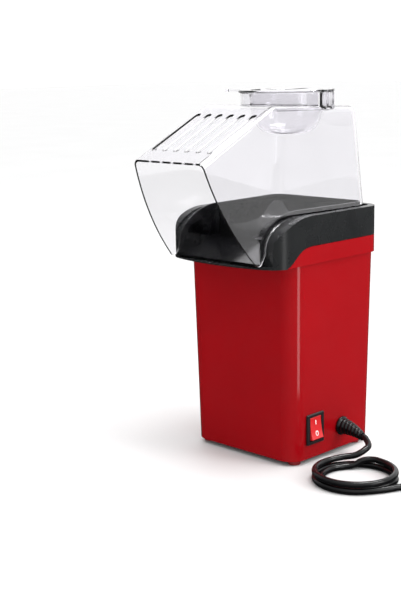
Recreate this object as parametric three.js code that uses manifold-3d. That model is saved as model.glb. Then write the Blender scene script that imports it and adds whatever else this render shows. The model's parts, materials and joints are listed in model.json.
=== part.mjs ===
// Hot-air popcorn maker: a tall moulded housing with a blower and heater inside, a black upper frame
// with a pouring chute, a clear cover that lifts off, a measuring cup in the cover's neck, a rocker
// switch and a mains cord. Millimetres, +Z up, the chute faces -Y and the switch faces +X.
// Most pieces are made round the housing's axis, and one group moves them so that the origin lies
// under the middle of the whole appliance.

import * as THREE from 'three';
import Module from 'manifold-3d';
import { mergeVertices } from 'three/addons/utils/BufferGeometryUtils.js';

const wasm = await Module();
wasm.setup();

// ---- Driving dimensions -------------------------------------------------------------------------

// GAP is the clearance between neighbours, FAR is beyond every piece, and ROUND is the number of
// facets round the upright axis, so that nested pieces keep their clearance.
const GAP = 0.3;
const FAR = 210;
const ROUND = 28;

// Housing: a rounded rectangle that widens upwards, with a proud band round its top.
const BODY_BOTTOM = 5;
const BODY_HALF_W = 67.9;
const BODY_HALF_D = 63.05;
const BODY_FLARE = 0.018;
const BODY_CORNER = 17;
const BODY_WALL = 2.5;
const STEP_Z = 200.6;
const BAND_HALF_W = BODY_HALF_W + 6.1;
const BAND_BACK = 69;
const BAND_CORNER = 19.5;
const BAND_TOP = 217.8;
const BAND_WALL = 2.5;
const BAND_FRONT = -75.5;
const POST_R = 4.5;
const POST_HEIGHT = 20;
const POST_RIB = 1.2;

// Feet, base plate and base screws.
const FOOT_X = BODY_HALF_W - 9.9;
const FOOT_FRONT = 13.05 - BODY_HALF_D;
const FOOT_BACK = BODY_HALF_D - 19.05;
const FEET = [
  [FOOT_X, FOOT_FRONT], [-FOOT_X, FOOT_FRONT], [FOOT_X, FOOT_BACK], [-FOOT_X, FOOT_BACK]];
const FOOT_R = 6.3;
const FOOT_TOP = 6.5;
const BASE_THICK = 2.5;
const INLET_R = 37;
const SLOT_STEP = 9;
const SCREW_SHANK_R = 1.7;
const SCREW_HEAD_R = 3.2;
const SCREW_HOLE_R = 2;

// Upper frame: its front sweeps down from the rim to the lip along a quarter of an ellipse.
const FRAME_BOTTOM = 200;
const SWEEP_Y = -40;
const SWEEP_Z = 215;
const SWEEP_RUN = 50;
const SWEEP_RISE = 32;
const RIM_WIDTH = 8.4;
const BACK_RIM_WIDTH = 5.6;
const LIP_TOP = 203;
const NOSE_HALF_W = BAND_HALF_W - 24;
const NOSE_SIDE_Y = -94.5;
const NOSE_BOW = 11;
const CHEEK_Y = -70;
const LEDGE_DROP = 2;

// Clear cover: its sides lean in and narrow towards the front.
const COVER_WALL = 2;
const COVER_HALF_W = BAND_HALF_W - 16.6;
const COVER_FRONT_Y = -98;
const COVER_BASE_Z = 206;
const COVER_TAPER = 0.055;
const COVER_LEAN = 0.088;
const COVER_BACK = 64;
const COVER_BACK_LEAN = 0.04;
const COVER_CORNER = 15;
const COVER_DROP = LEDGE_DROP - GAP;
const MOUTH_TOP = [-158, 303];
const COVER_BEND = [-61.5, 350];
const TOP_SLOPE = 0.041;
const TIP_Y = -98.6;
const TIP_Z = 208.8;
const TIP_R = 5;
const SLOT_COUNT = 6;
const SLOT_PITCH = 14.6;
const SLOT_WIDTH = 6.4;
const SLOT_FRONT = -141;
const SLOT_BACK = -78;
const NECK_R = 46;
const NECK_WALL = 2;
const NECK_TOP = 360;

// Measuring cup.
const CUP_FLANGE_R = 48;
const CUP_R = 37;
const CUP_BOTTOM = 318;
const CUP_WALL = 1.6;
const CUP_FLANGE = 2.4;
const HANDLE_REACH = 78;
const HANDLE_WIDTH = 20;

// Chute liner with the funnel round the popping chamber's mouth.
const LINER_WALL = 1.8;
const LINER_RISE = 3.5;
const LINER_GAP = 0.4;
const CHUTE_FRONT_Z = 204.8;
const CHUTE_BACK_Y = -34;
const MOUTH_Z = 215;
const MOUTH_R = 36;
const FUNNEL_R = 64;
const FUNNEL_RISE = 14;
const SEAT_R = 44;

// Popping chamber, heater and blower share one upright axis.
const AXIS_Y = 8;
const CHAMBER_R = 37;
const CHAMBER_WALL = 1;
const CHAMBER_BOTTOM = 146;
const LOUVRES = 9;
const SHELL_R = 45;
const SHELL_WALL = 0.9;
const SHELL_BOTTOM = 118;
const CARRIER_R = 51.6;
const CARRIER_SCREW_R = 48.4;
const CARRIER_ANGLES = [90, 210, 330];
const MICA_BOTTOM = SHELL_BOTTOM;
const MICA_HEIGHT = 24;
const MICA_THICK = 1;
const FAN_HOUSING_R = 48.4;
const FAN_HOUSING_WALL = 1.8;
const FAN_FLOOR = 78;
const INTAKE_R = 30;
const IMPELLER_R = 40;
const BLADES = 10;
const SHAFT_R = 1.6;
const MOTOR_R = 13.8;
const MOTOR_LENGTH = 36;
const STANDOFF_R = 3.5;
const STANDOFF_CIRCLE = 43;

// Rocker switch.
const SWITCH_Y = -32;
const SWITCH_Z = 35;
const BEZEL_W = 25.5;
const BEZEL_H = 31;
const BEZEL_THICK = 2;
const ROCKER_W = 16.6;
const ROCKER_H = 22.6;
const ROCKER_TILT = 9;

// Strain relief and cord.
const RELIEF_Y = 11;
const RELIEF_Z = 27.6;
const RELIEF_R = 9.5;
const CORD_R = 3.1;

// Loops of cord beside the housing, and the coil that holds the rest of it.
const LOOPS_X = BODY_HALF_W + 63.4;
const LOOPS_Y = -3.3;
const LOOPS_R = 37.8;
const COIL_X = BODY_HALF_W + 148.1;
const COIL_Y = 50;
const COIL_R = 33;
const TIE_THICK = 0.8;
const COIL_LIFT = TIE_THICK + GAP;

// The cover's mouth and the frame's back are the ends of the appliance.
const ORIGIN_Y = (-MOUTH_TOP[0] - BAND_BACK) / 2;

// ---- Materials ----------------------------------------------------------------------------------

function finish(color, roughness, metalness = 0, opacity = 1) {
  const transparent = opacity < 1;
  return new THREE.MeshStandardMaterial({ color, roughness, metalness, opacity, transparent });
}

const RED = finish(0xb0141e, 0.2);
const BLACK = finish(0x2a2b2c, 0.45);
const CLEAR = finish(0xeeeef4, 0.05, 0, 0.3);
const LIT_RED = finish(0xe0141c, 0.25);
const ALUMINIUM = finish(0xc8c9cb, 0.35, 1);
const STEEL = finish(0x9fa1a4, 0.4, 1);
const MICA = finish(0xc9b48a, 0.7);
const NICHROME = finish(0x6f6a66, 0.5, 1);
const RUBBER = finish(0x161616, 0.7);
const SILICONE = finish(0xa83a2a, 0.6);
const GREY = finish(0x8a8c8e, 0.6);
const BRASS = finish(0xc0a050, 0.3, 1);
const BOARD = finish(0x2e6b3a, 0.6);
const WIRE = finish(0xd8d8d4, 0.6);

// ---- Shape helpers ------------------------------------------------------------------------------

function toSolid(geometry) {
  const bare = geometry.clone();
  bare.deleteAttribute('normal');
  bare.deleteAttribute('uv');
  const merged = mergeVertices(bare, 1e-4);
  const corners = merged.index.array;
  const kept = [];
  for (let i = 0; i < corners.length; i += 3) {
    const face = [corners[i], corners[i + 1], corners[i + 2]];
    if (new Set(face).size === 3) kept.push(...face);
  }
  const vertProperties = Float32Array.from(merged.attributes.position.array);
  const triVerts = Uint32Array.from(kept);
  return new wasm.Manifold(new wasm.Mesh({ numProp: 3, vertProperties, triVerts }));
}

function toGeometry(solid) {
  const mesh = solid.getMesh();
  const geometry = new THREE.BufferGeometry();
  const places = Float32Array.from(mesh.vertProperties);
  geometry.setAttribute('position', new THREE.BufferAttribute(places, 3));
  geometry.setIndex(new THREE.BufferAttribute(Uint32Array.from(mesh.triVerts), 1));
  geometry.computeVertexNormals();
  return geometry;
}

function joined(solids) {
  return solids.reduce((whole, piece) => whole.add(piece));
}

function cut(solid, cutters) {
  return cutters.reduce((left, cutter) => left.subtract(cutter), solid);
}

// An outline of [x, y] points or a Shape, pushed up from bottom to top.
function plate(outline, bottom, top, curveSegments = 6) {
  const shape = Array.isArray(outline) ? outlineShape(outline) : outline;
  const options = { depth: top - bottom, bevelEnabled: false, curveSegments };
  return toSolid(new THREE.ExtrudeGeometry(shape, options).translate(0, 0, bottom));
}

function outlineShape(points) {
  return new THREE.Shape(points.map(([x, y]) => new THREE.Vector2(x, y)));
}

// An outline of [y, z] points, pushed along X from left to right.
const ALONG_X = new THREE.Matrix4().set(0, 0, 1, 0, 1, 0, 0, 0, 0, 1, 0, 0, 0, 0, 0, 1);

function prism(points, left, right) {
  const options = { depth: right - left, bevelEnabled: false };
  const geometry = new THREE.ExtrudeGeometry(outlineShape(points), options);
  return toSolid(geometry.applyMatrix4(ALONG_X).translate(left, 0, 0));
}

function box(low, high) {
  const size = high.map((value, i) => value - low[i]);
  const middle = high.map((value, i) => (value + low[i]) / 2);
  return toSolid(new THREE.BoxGeometry(...size).translate(...middle));
}

// A profile of [radius, z] points turned about an upright axis through (x, y).
function turned(profile, segments = ROUND, x = 0, y = 0) {
  const points = profile.map(([r, z]) => new THREE.Vector2(r, z));
  const geometry = new THREE.LatheGeometry(points, segments).rotateX(Math.PI / 2);
  return toSolid(geometry.translate(x, y, 0));
}

function cylinder(r, bottom, top, segments = 24, x = 0, y = 0) {
  return turned([[0, bottom], [r, bottom], [r, top], [0, top]], segments, x, y);
}

function ring(inner, outer, bottom, top, segments = ROUND, x = 0, y = 0) {
  const profile = [[inner, bottom], [outer, bottom], [outer, top], [inner, top], [inner, bottom]];
  return turned(profile, segments, x, y);
}

// A profile of [radius, x] points turned about an axis along X through (y, z).
function turnedAlongX(profile, y, z, segments = 24) {
  const points = profile.map(([r, x]) => new THREE.Vector2(r, x));
  const geometry = new THREE.LatheGeometry(points, segments).rotateZ(-Math.PI / 2);
  return toSolid(geometry.translate(0, y, z));
}

function tube(curve, radius, sides, steps) {
  const section = new THREE.Shape();
  for (let i = 0; i < sides; i += 1) {
    const angle = (2 * Math.PI * i) / sides;
    section[i ? 'lineTo' : 'moveTo'](radius * Math.cos(angle), radius * Math.sin(angle));
  }
  const options = { steps, bevelEnabled: false, extrudePath: curve };
  return toSolid(new THREE.ExtrudeGeometry(section, options));
}

function through(points) {
  return new THREE.CatmullRomCurve3(points.map((point) => new THREE.Vector3(...point)));
}

class Helix extends THREE.Curve {
  constructor(radius, bottom, top, turns) {
    super();
    Object.assign(this, { radius, bottom, top, turns });
  }

  getPoint(t) {
    const angle = 2 * Math.PI * this.turns * t + Math.PI / 8;
    const height = this.bottom + t * (this.top - this.bottom);
    return new THREE.Vector3(
      this.radius * Math.cos(angle), AXIS_Y + this.radius * Math.sin(angle), height);
  }
}

// Moves every corner of a solid's mesh.
function reshaped(solid, move) {
  const geometry = toGeometry(solid);
  const places = geometry.attributes.position;
  for (let i = 0; i < places.count; i += 1) {
    places.setXYZ(i, ...move(places.getX(i), places.getY(i), places.getZ(i)));
  }
  return toSolid(geometry);
}

function polar(radius, degrees) {
  const angle = (degrees * Math.PI) / 180;
  return [radius * Math.cos(angle), radius * Math.sin(angle)];
}

// ---- Outlines -----------------------------------------------------------------------------------

function roundedRectangle(halfX, halfY, radius, middleX = 0, middleY = 0) {
  const shape = new THREE.Shape();
  for (const [k, [sx, sy]] of [[1, 1], [-1, 1], [-1, -1], [1, -1]].entries()) {
    const x = middleX + sx * (halfX - radius);
    const y = middleY + sy * (halfY - radius);
    shape.absarc(x, y, radius, (k * Math.PI) / 2, ((k + 1) * Math.PI) / 2);
  }
  return shape;
}

// The band and the upper frame from above: square at the back, bowed at the front.
function bandShape(inset) {
  const w = BAND_HALF_W - inset;
  const back = BAND_BACK - inset;
  const r = BAND_CORNER - inset;
  const side = NOSE_SIDE_Y + inset;
  const nose = NOSE_HALF_W - inset / 2;
  const shape = new THREE.Shape();
  shape.moveTo(w, CHEEK_Y);
  shape.lineTo(w, back - r);
  shape.absarc(w - r, back - r, r, 0, Math.PI / 2);
  shape.absarc(r - w, back - r, r, Math.PI / 2, Math.PI);
  shape.lineTo(-w, CHEEK_Y);
  shape.quadraticCurveTo(1.5 - w, side + 5, -nose, side);
  shape.quadraticCurveTo(0, side - NOSE_BOW, nose, side);
  shape.quadraticCurveTo(w - 1.5, side + 5, w, CHEEK_Y);
  return shape;
}

// A length of the housing's taper, inset from its outer face.
function bodyBlock(inset, bottom, top) {
  const outline = roundedRectangle(BODY_HALF_W - inset, BODY_HALF_D - inset, BODY_CORNER - inset);
  return reshaped(plate(outline, bottom, top), (x, y, z) => {
    const flare = BODY_FLARE * z;
    return [x * (1 + flare / (BODY_HALF_W - inset)), y * (1 + flare / (BODY_HALF_D - inset)), z];
  });
}

function bodySideX(z) {
  return BODY_HALF_W + BODY_FLARE * z;
}

// The rim's line from the front up to the top, as [y, z] points.
function sweep(drop, steps = 10) {
  const points = [];
  for (let i = 0; i <= steps; i += 1) {
    const angle = Math.PI - (i / steps) * (Math.PI / 2);
    const y = SWEEP_Y + (SWEEP_RUN - drop) * Math.cos(angle);
    points.push([y, SWEEP_Z + (SWEEP_RISE - drop) * Math.sin(angle)]);
  }
  return points;
}

// Everything above and in front of the sweep, down to a floor.
function aboveSweep(drop, floor, halfWidth) {
  const line = sweep(drop);
  const top = line.at(-1)[1];
  const outline = [
    [-FAR, floor], [line[0][0], floor], ...line, [100, top], [100, top + 60], [-FAR, top + 60]];
  return prism(outline, -halfWidth, halfWidth);
}

// The line where the band meets the upper frame, as [y, z] points from front to back.
function bandLine(rise) {
  const curve = new THREE.CubicBezierCurve(
    new THREE.Vector2(BAND_FRONT, STEP_Z),
    new THREE.Vector2(BAND_FRONT + 12.5, STEP_Z + 6.4),
    new THREE.Vector2(BAND_FRONT + 15.5, BAND_TOP),
    new THREE.Vector2(BAND_FRONT + 35.5, BAND_TOP));
  return curve.getPoints(8).map((point) => [point.x, point.y + rise]);
}

// The clear cover's outer block: narrower at the front and towards the top.
function coverBlock(inset, bottom, top) {
  const half = (y) => COVER_HALF_W - inset + COVER_TAPER * (y - COVER_FRONT_Y);
  const back = COVER_BACK - inset;
  const r = COVER_CORNER - inset;
  const front = 10 - FAR;
  const shape = new THREE.Shape();
  shape.moveTo(-half(front), front);
  shape.lineTo(half(front), front);
  shape.lineTo(half(back - r), back - r);
  shape.absarc(half(back - r) - r, back - r, r, 0, Math.PI / 2);
  shape.absarc(r - half(back - r), back - r, r, Math.PI / 2, Math.PI);
  return reshaped(plate(shape, bottom, top, 5), (x, y, z) => {
    const rise = z - COVER_BASE_Z;
    const share = Math.max(0, (y - SWEEP_Y) / (back - SWEEP_Y));
    return [x * (1 - (COVER_LEAN * rise) / half(y)), y - COVER_BACK_LEAN * rise * share, z];
  });
}

// ---- Housing, base and feet ---------------------------------------------------------------------

function housing() {
  const shoulder = STEP_Z + BODY_WALL;
  const cheekBack = BODY_CORNER - BODY_HALF_D;
  const tube = cut(bodyBlock(0, BODY_BOTTOM, shoulder), [
    box([-100, -100, FRAME_BOTTOM - GAP], [100, cheekBack, 300])]);
  const skin = plate(bandShape(0), STEP_Z, BAND_TOP).subtract(
    plate(bandShape(BAND_WALL), STEP_Z - 1, BAND_TOP + 1));
  const ledge = cut(plate(bandShape(0), STEP_Z, shoulder), [
    box([-100, -130, 0], [100, cheekBack, 300])]);
  const line = bandLine(0);
  const front = prism([[-130, 190], [BAND_FRONT, 190], ...line, [line.at(-1)[0], 300], [-130, 300]],
    -100, 100);
  const hollow = bodyBlock(BODY_WALL, BODY_BOTTOM - 1, shoulder + 1);
  const shell = cut(joined([tube, skin.subtract(front), ledge.subtract(front)]), [hollow]);
  const wall = bodyBlock(0.5, BODY_BOTTOM + 4, BODY_BOTTOM + POST_HEIGHT + 10);
  const postBottom = FOOT_TOP + GAP + BASE_THICK + GAP;
  const postTop = postBottom + POST_HEIGHT;
  const posts = FEET.map(([x, y]) => {
    const sx = Math.sign(x);
    const sy = Math.sign(y);
    const rib = box(
      [Math.min(x, sx * 90), y - POST_RIB, postBottom], [Math.max(x, sx * 90), y + POST_RIB, postTop]);
    const web = box(
      [x - POST_RIB, Math.min(y, sy * 90), postBottom], [x + POST_RIB, Math.max(y, sy * 90), postTop]);
    return joined([rib, web]).intersect(wall).add(cylinder(POST_R, postBottom, postTop, 8, x, y));
  });
  const holes = FEET.map(([x, y]) => cylinder(SCREW_HOLE_R, 0, postTop - 4, 8, x, y));
  return cut(joined([shell, ...posts]), [...holes, switchHole(), reliefHole()]);
}

function switchHole() {
  return switchBox(40, 90, BEZEL_W - 3, BEZEL_H - 2.4);
}

function reliefHole() {
  return turnedAlongX([[0, 40], [6.3, 40], [6.3, 90], [0, 90]], RELIEF_Y, RELIEF_Z, 16);
}

function basePlate() {
  const bottom = FOOT_TOP + GAP;
  const top = bottom + BASE_THICK;
  const reach = BODY_WALL + 0.5;
  const outline = roundedRectangle(
    BODY_HALF_W - reach, BODY_HALF_D - reach, BODY_CORNER - reach);
  const slots = [];
  for (let row = -3; row <= 3; row += 1) {
    const y = AXIS_Y + row * SLOT_STEP;
    const half = Math.sqrt(INLET_R ** 2 - (row * SLOT_STEP) ** 2);
    slots.push(box([-half, y - SLOT_STEP / 4, bottom - 1], [half, y + SLOT_STEP / 4, top + 1]));
  }
  const holes = FEET.map(([x, y]) => cylinder(SCREW_HOLE_R, 0, top + 1, 8, x, y));
  return cut(plate(outline, bottom, top), [...slots, ...holes]);
}

function foot(x, y) {
  const recess = SCREW_HEAD_R + 0.5;
  const profile = [
    [recess, 0], [FOOT_R - 0.8, 0], [FOOT_R, 1], [FOOT_R, FOOT_TOP], [SCREW_HOLE_R, FOOT_TOP],
    [SCREW_HOLE_R, 4], [recess, 4], [recess, 0]];
  return turned(profile, 16, x, y);
}

function baseScrew(x, y) {
  const top = FOOT_TOP + BASE_THICK + 14;
  const profile = [
    [0, 1.4], [SCREW_HEAD_R - 0.8, 1.4], [SCREW_HEAD_R, 2.2], [SCREW_HEAD_R, 3.7],
    [SCREW_SHANK_R, 3.7], [SCREW_SHANK_R, top - 2], [0, top]];
  return turned(profile, 8, x, y);
}

// ---- Upper frame and chute ----------------------------------------------------------------------

function upperFrame() {
  const top = SWEEP_Z + SWEEP_RISE;
  const shoulder = STEP_Z + BODY_WALL + GAP;
  const cheekBack = BODY_CORNER - BODY_HALF_D - GAP;
  const block = plate(bandShape(0), FRAME_BOTTOM, top);
  const line = bandLine(GAP);
  const under = prism([
    [BAND_FRONT - GAP, 190], [BAND_FRONT - GAP, line[0][1]], ...line.slice(1),
    [100, BAND_TOP + GAP], [100, 190]], -100, 100);
  const spigot = plate(bandShape(BAND_WALL + GAP), shoulder, top);
  const corner = plate(bandShape(BAND_WALL + GAP), FRAME_BOTTOM, top).intersect(
    box([-100, -130, 0], [100, cheekBack, 300]));
  const recess = aboveSweep(LEDGE_DROP, LIP_TOP, 100).intersect(
    plate(ledgeShape(), 190, top + 10));
  const well = coverBlock(COVER_WALL + 0.1, 190, top + 10);
  return cut(block, [
    under.subtract(spigot).subtract(corner),
    aboveSweep(0, LIP_TOP, 100),
    recess,
    well.intersect(box([-100, -130, LIP_TOP], [100, 100, 300])),
    well.intersect(box([-100, -86, 190], [100, 100, 300]))]);
}

// The ledge that the cover stands on, from above.
function ledgeShape() {
  const w = BAND_HALF_W - RIM_WIDTH;
  const back = BAND_BACK - BACK_RIM_WIDTH;
  const r = BAND_CORNER - RIM_WIDTH;
  const shape = new THREE.Shape();
  shape.moveTo(w, -130);
  shape.lineTo(w, back - r);
  shape.absarc(w - r, back - r, r, 0, Math.PI / 2);
  shape.absarc(r - w, back - r, r, Math.PI / 2, Math.PI);
  shape.lineTo(-w, -130);
  return shape;
}

function chuteLiner() {
  const inset = COVER_WALL + LINER_GAP;
  const block = coverBlock(inset, FRAME_BOTTOM, 280);
  const inner = coverBlock(inset + LINER_WALL, 190, 300);
  const front = sweep(-LINER_RISE)[0][0];
  const lip = box([-100, -FAR, 190], [100, -86 + GAP, LIP_TOP + GAP]);
  const floor = [
    [-FAR, CHUTE_FRONT_Z], [front, CHUTE_FRONT_Z], [CHUTE_BACK_Y, MOUTH_Z], [CHUTE_BACK_Y, 300],
    [-FAR, 300]];
  const chute = prism(floor, -100, 100).intersect(inner);
  const funnelTop = MOUTH_Z + FUNNEL_RISE;
  const funnel = turned([
    [0, MOUTH_Z], [MOUTH_R, MOUTH_Z], [FUNNEL_R, funnelTop], [FUNNEL_R + 40, 300], [0, 300]],
    ROUND, 0, AXIS_Y).intersect(inner);
  const mouth = cylinder(MOUTH_R, 190, 300, ROUND, 0, AXIS_Y);
  const underChute = prism([
    [-84, 190], [-84, CHUTE_FRONT_Z - 1.2], [CHUTE_BACK_Y - 2, MOUTH_Z - 2.2],
    [CHUTE_BACK_Y - 2, 190]], -100, 100).intersect(inner);
  const seat = MOUTH_Z - 2.1;
  const underFunnel = turned([
    [0, 190], [FUNNEL_R, 190], [FUNNEL_R, funnelTop - 2.4], [SEAT_R, seat], [0, seat]],
    ROUND, 0, AXIS_Y).intersect(inner);
  const shell = cut(block, [
    aboveSweep(-LINER_RISE, LIP_TOP, 100), lip, chute, funnel, mouth, underChute, underFunnel]);
  const postBottom = 210.2;
  const posts = CARRIER_ANGLES.map((angle) => {
    const [x, y] = polar(CARRIER_SCREW_R, angle);
    return cylinder(3.2, postBottom, 217, 10, x, AXIS_Y + y);
  });
  const holes = CARRIER_ANGLES.map((angle) => {
    const [x, y] = polar(CARRIER_SCREW_R, angle);
    return cylinder(1.9, 190, 215.6, 8, x, AXIS_Y + y);
  });
  return cut(joined([shell, ...posts]), holes);
}

// ---- Clear cover and measuring cup --------------------------------------------------------------

function clearCover() {
  const [mouthY, mouthZ] = MOUTH_TOP;
  const [bendY, bendZ] = COVER_BEND;
  const pitch = (bendZ - mouthZ) / (bendY - mouthY);
  const mouthEdge = new THREE.QuadraticBezierCurve(
    new THREE.Vector2(mouthY, mouthZ),
    new THREE.Vector2(mouthY + 17, mouthZ - 54),
    new THREE.Vector2(TIP_Y - 4.6, TIP_Z - 1.9)).getPoints(8).map((p) => [p.x, p.y]);
  const tip = [200, 235, 270, 305, 340].map((degrees) => {
    const [y, z] = polar(TIP_R, degrees);
    return [TIP_Y + y, TIP_Z + z];
  });
  const foot = sweep(COVER_DROP);
  const backTop = (y) => bendZ - TOP_SLOPE * (y - bendY);
  const outline = [
    ...mouthEdge, ...tip, [foot[0][0] - 1.6, foot[0][1] - 3], ...foot, [100, foot.at(-1)[1]],
    [100, backTop(63) - 25], [63, backTop(63) - 9], [54, backTop(54)], [bendY, bendZ]];
  const outer = prism(outline, -100, 100).intersect(coverBlock(0, 190, 370));
  const drop = COVER_WALL * Math.hypot(1, pitch);
  const turnY = bendY + 0.5;
  const hollow = [
    [mouthY - 40, mouthZ - drop - 40 * pitch], [turnY, backTop(turnY) - COVER_WALL],
    [53, backTop(53) - COVER_WALL], [61, backTop(61) - COVER_WALL - 8], [100, backTop(61) - 25],
    [100, 190], [mouthY - 40, 190]];
  const inner = prism(hollow, -100, 100).intersect(coverBlock(COVER_WALL, 180, 380));
  const slots = [];
  for (let i = 0; i < SLOT_COUNT; i += 1) {
    const x = (i - (SLOT_COUNT - 1) / 2) * SLOT_PITCH;
    const half = (SLOT_BACK - SLOT_FRONT) / 2;
    const slot = roundedRectangle(SLOT_WIDTH / 2, half, SLOT_WIDTH / 2 - 0.05, x, SLOT_FRONT + half);
    slots.push(plate(slot, 290, 360, 2));
  }
  const neckBase = backTop(AXIS_Y + NECK_R) - COVER_WALL;
  const neck = ring(NECK_R - NECK_WALL, NECK_R, neckBase, NECK_TOP, ROUND, 0, AXIS_Y);
  const lug = cut(
    box([NECK_R - 1, AXIS_Y - 6, neckBase + 1], [NECK_R + 10, AXIS_Y + 6, NECK_TOP]),
    [box([NECK_R + 3, AXIS_Y - 2.6, neckBase + 4], [NECK_R + 20, AXIS_Y + 2.6, NECK_TOP + 1])]);
  const hole = cylinder(NECK_R - NECK_WALL, 300, 380, ROUND, 0, AXIS_Y);
  return joined([cut(outer, [inner, ...slots]).add(neck.add(lug))]).subtract(hole);
}

function measuringCup() {
  const flangeBottom = NECK_TOP + GAP;
  const top = flangeBottom + CUP_FLANGE;
  const wall = CUP_WALL;
  const depth = flangeBottom - CUP_BOTTOM;
  const bowl = (inset) => [0, 30, 60, 90].map((degrees) => {
    const [across, up] = polar(1, degrees - 90);
    return [(CUP_R - inset) * across ** 0.75, CUP_BOTTOM + inset + (depth - inset) * (1 + up) ** 1.5];
  });
  const inside = bowl(wall).reverse();
  const profile = [
    ...bowl(0), [CUP_FLANGE_R, flangeBottom], [CUP_FLANGE_R, top], [CUP_R - wall, top], ...inside];
  const handle = plate(roundedRectangle(HANDLE_REACH / 2 - 20, HANDLE_WIDTH / 2, 7,
    -HANDLE_REACH / 2 - 20, AXIS_Y), flangeBottom, top, 5);
  const tab = plate(roundedRectangle(8, 5, 2, CUP_FLANGE_R + 1, AXIS_Y), flangeBottom, top, 3);
  const cupHole = cylinder(CUP_R - wall, CUP_BOTTOM + 20, top + 1, ROUND, 0, AXIS_Y);
  return turned(profile, ROUND, 0, AXIS_Y).add(joined([handle, tab]).subtract(cupHole));
}

// ---- Popping chamber and heater -----------------------------------------------------------------

const FLANGE_BOTTOM = MOUTH_Z - 4.8;

function mouthSeal() {
  return ring(MOUTH_R + 0.3, SEAT_R - 0.5, FLANGE_BOTTOM + 1.2, MOUTH_Z - 2.4, ROUND, 0, AXIS_Y);
}

function poppingChamber() {
  const inner = CHAMBER_R - CHAMBER_WALL;
  const top = FLANGE_BOTTOM + 0.9;
  const profile = [
    [0, CHAMBER_BOTTOM], [CHAMBER_R - 5, CHAMBER_BOTTOM], [CHAMBER_R, CHAMBER_BOTTOM + 5],
    [CHAMBER_R, FLANGE_BOTTOM], [SEAT_R - 0.5, FLANGE_BOTTOM], [SEAT_R - 0.5, top], [inner, top],
    [inner, CHAMBER_BOTTOM + 5.4], [CHAMBER_R - 5.4, CHAMBER_BOTTOM + CHAMBER_WALL],
    [0, CHAMBER_BOTTOM + CHAMBER_WALL]];
  const louvres = [];
  for (let i = 0; i < LOUVRES; i += 1) {
    const louvre = new THREE.BoxGeometry(6, 2, 15).rotateX(0.5).translate(CHAMBER_R, 0, 0);
    louvre.rotateZ((2 * Math.PI * i) / LOUVRES).translate(0, AXIS_Y, CHAMBER_BOTTOM + 14);
    louvres.push(toSolid(louvre));
  }
  return cut(turned(profile, ROUND, 0, AXIS_Y), louvres);
}

function carrierHoles(radius) {
  return CARRIER_ANGLES.map((angle) => {
    const [x, y] = polar(CARRIER_SCREW_R, angle);
    return cylinder(radius, 190, 240, 8, x, AXIS_Y + y);
  });
}

const CARRIER_BOTTOM = FLANGE_BOTTOM - 2.2;

function chamberCarrier() {
  const plateRing = ring(
    CHAMBER_R + 0.5, CARRIER_R, CARRIER_BOTTOM, FLANGE_BOTTOM - GAP, ROUND, 0, AXIS_Y);
  return cut(plateRing, carrierHoles(1.9));
}

function heaterShell() {
  const inner = SHELL_R - SHELL_WALL;
  const top = CARRIER_BOTTOM - GAP;
  const profile = [
    [inner, SHELL_BOTTOM], [SHELL_R, SHELL_BOTTOM], [SHELL_R, top - 1.1], [CARRIER_R, top - 1.1],
    [CARRIER_R, top], [inner, top], [inner, SHELL_BOTTOM]];
  return cut(turned(profile, ROUND, 0, AXIS_Y), carrierHoles(1.9));
}

function carrierScrew(angle) {
  const [x, y] = polar(CARRIER_SCREW_R, angle);
  const seat = CARRIER_BOTTOM - GAP - 1.1 - GAP;
  const profile = [[0, seat - 1.9], [2.8, seat - 1.9], [3, seat], [1.5, seat], [1.5, 214], [0, 215]];
  return turned(profile, 10, x, AXIS_Y + y);
}

const MAIN_COIL = new Helix(33, MICA_BOTTOM + 5, MICA_BOTTOM + 20, 3);
const DROPPER_COIL = new Helix(20, MICA_BOTTOM + 7, MICA_BOTTOM + 18, 2);

function heatingCoil(helix) {
  return tube(helix, 0.9, 6, Math.round(helix.turns * 12));
}

function micaCross() {
  const reach = SHELL_R - SHELL_WALL - 0.5;
  const top = MICA_BOTTOM + MICA_HEIGHT;
  const half = MICA_THICK / 2;
  const bottom = MICA_BOTTOM + GAP;
  const cross = joined([
    box([-reach, AXIS_Y - half, bottom], [reach, AXIS_Y + half, top]),
    box([-half, AXIS_Y - reach, bottom], [half, AXIS_Y + reach, top])]);
  const grooves = [MAIN_COIL, DROPPER_COIL].map(
    (helix) => tube(helix, 1.5, 6, Math.round(helix.turns * 12)));
  return cut(cross, grooves);
}

function thermostat() {
  const face = SHELL_R + 0.4;
  const z = 165;
  const can = turnedAlongX([[0, face], [8, face], [8, face + 6], [0, face + 6]], AXIS_Y, z, 20);
  const tabs = [-1, 1].map((side) => box(
    [face + 5, AXIS_Y + side * 4 - 0.5, z - 2.5], [face + 12, AXIS_Y + side * 4 + 0.5, z + 2.5]));
  return joined([can, ...tabs]);
}

function thermalFuse() {
  const x = -SHELL_R - 3.4;
  const z = 165;
  const path = (y0, y1) => through([[x, AXIS_Y + y0, z], [x, AXIS_Y + y1, z]]);
  return tube(path(-7, 7), 2.4, 12, 1).add(tube(path(-13, 13), 0.6, 8, 1));
}

// ---- Blower and motor ---------------------------------------------------------------------------

function fanHousing() {
  const inner = FAN_HOUSING_R - FAN_HOUSING_WALL;
  const top = SHELL_BOTTOM + 6;
  const seat = SHELL_BOTTOM - GAP;
  const profile = [
    [INTAKE_R, FAN_FLOOR], [FAN_HOUSING_R, FAN_FLOOR], [FAN_HOUSING_R, top], [inner, top],
    [inner, seat], [inner - 3.6, seat], [inner - 3.6, seat - 1.5], [inner, seat - 3],
    [inner, FAN_FLOOR + 2], [INTAKE_R, FAN_FLOOR + 2], [INTAKE_R, FAN_FLOOR]];
  return turned(profile, ROUND, 0, AXIS_Y);
}

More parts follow.
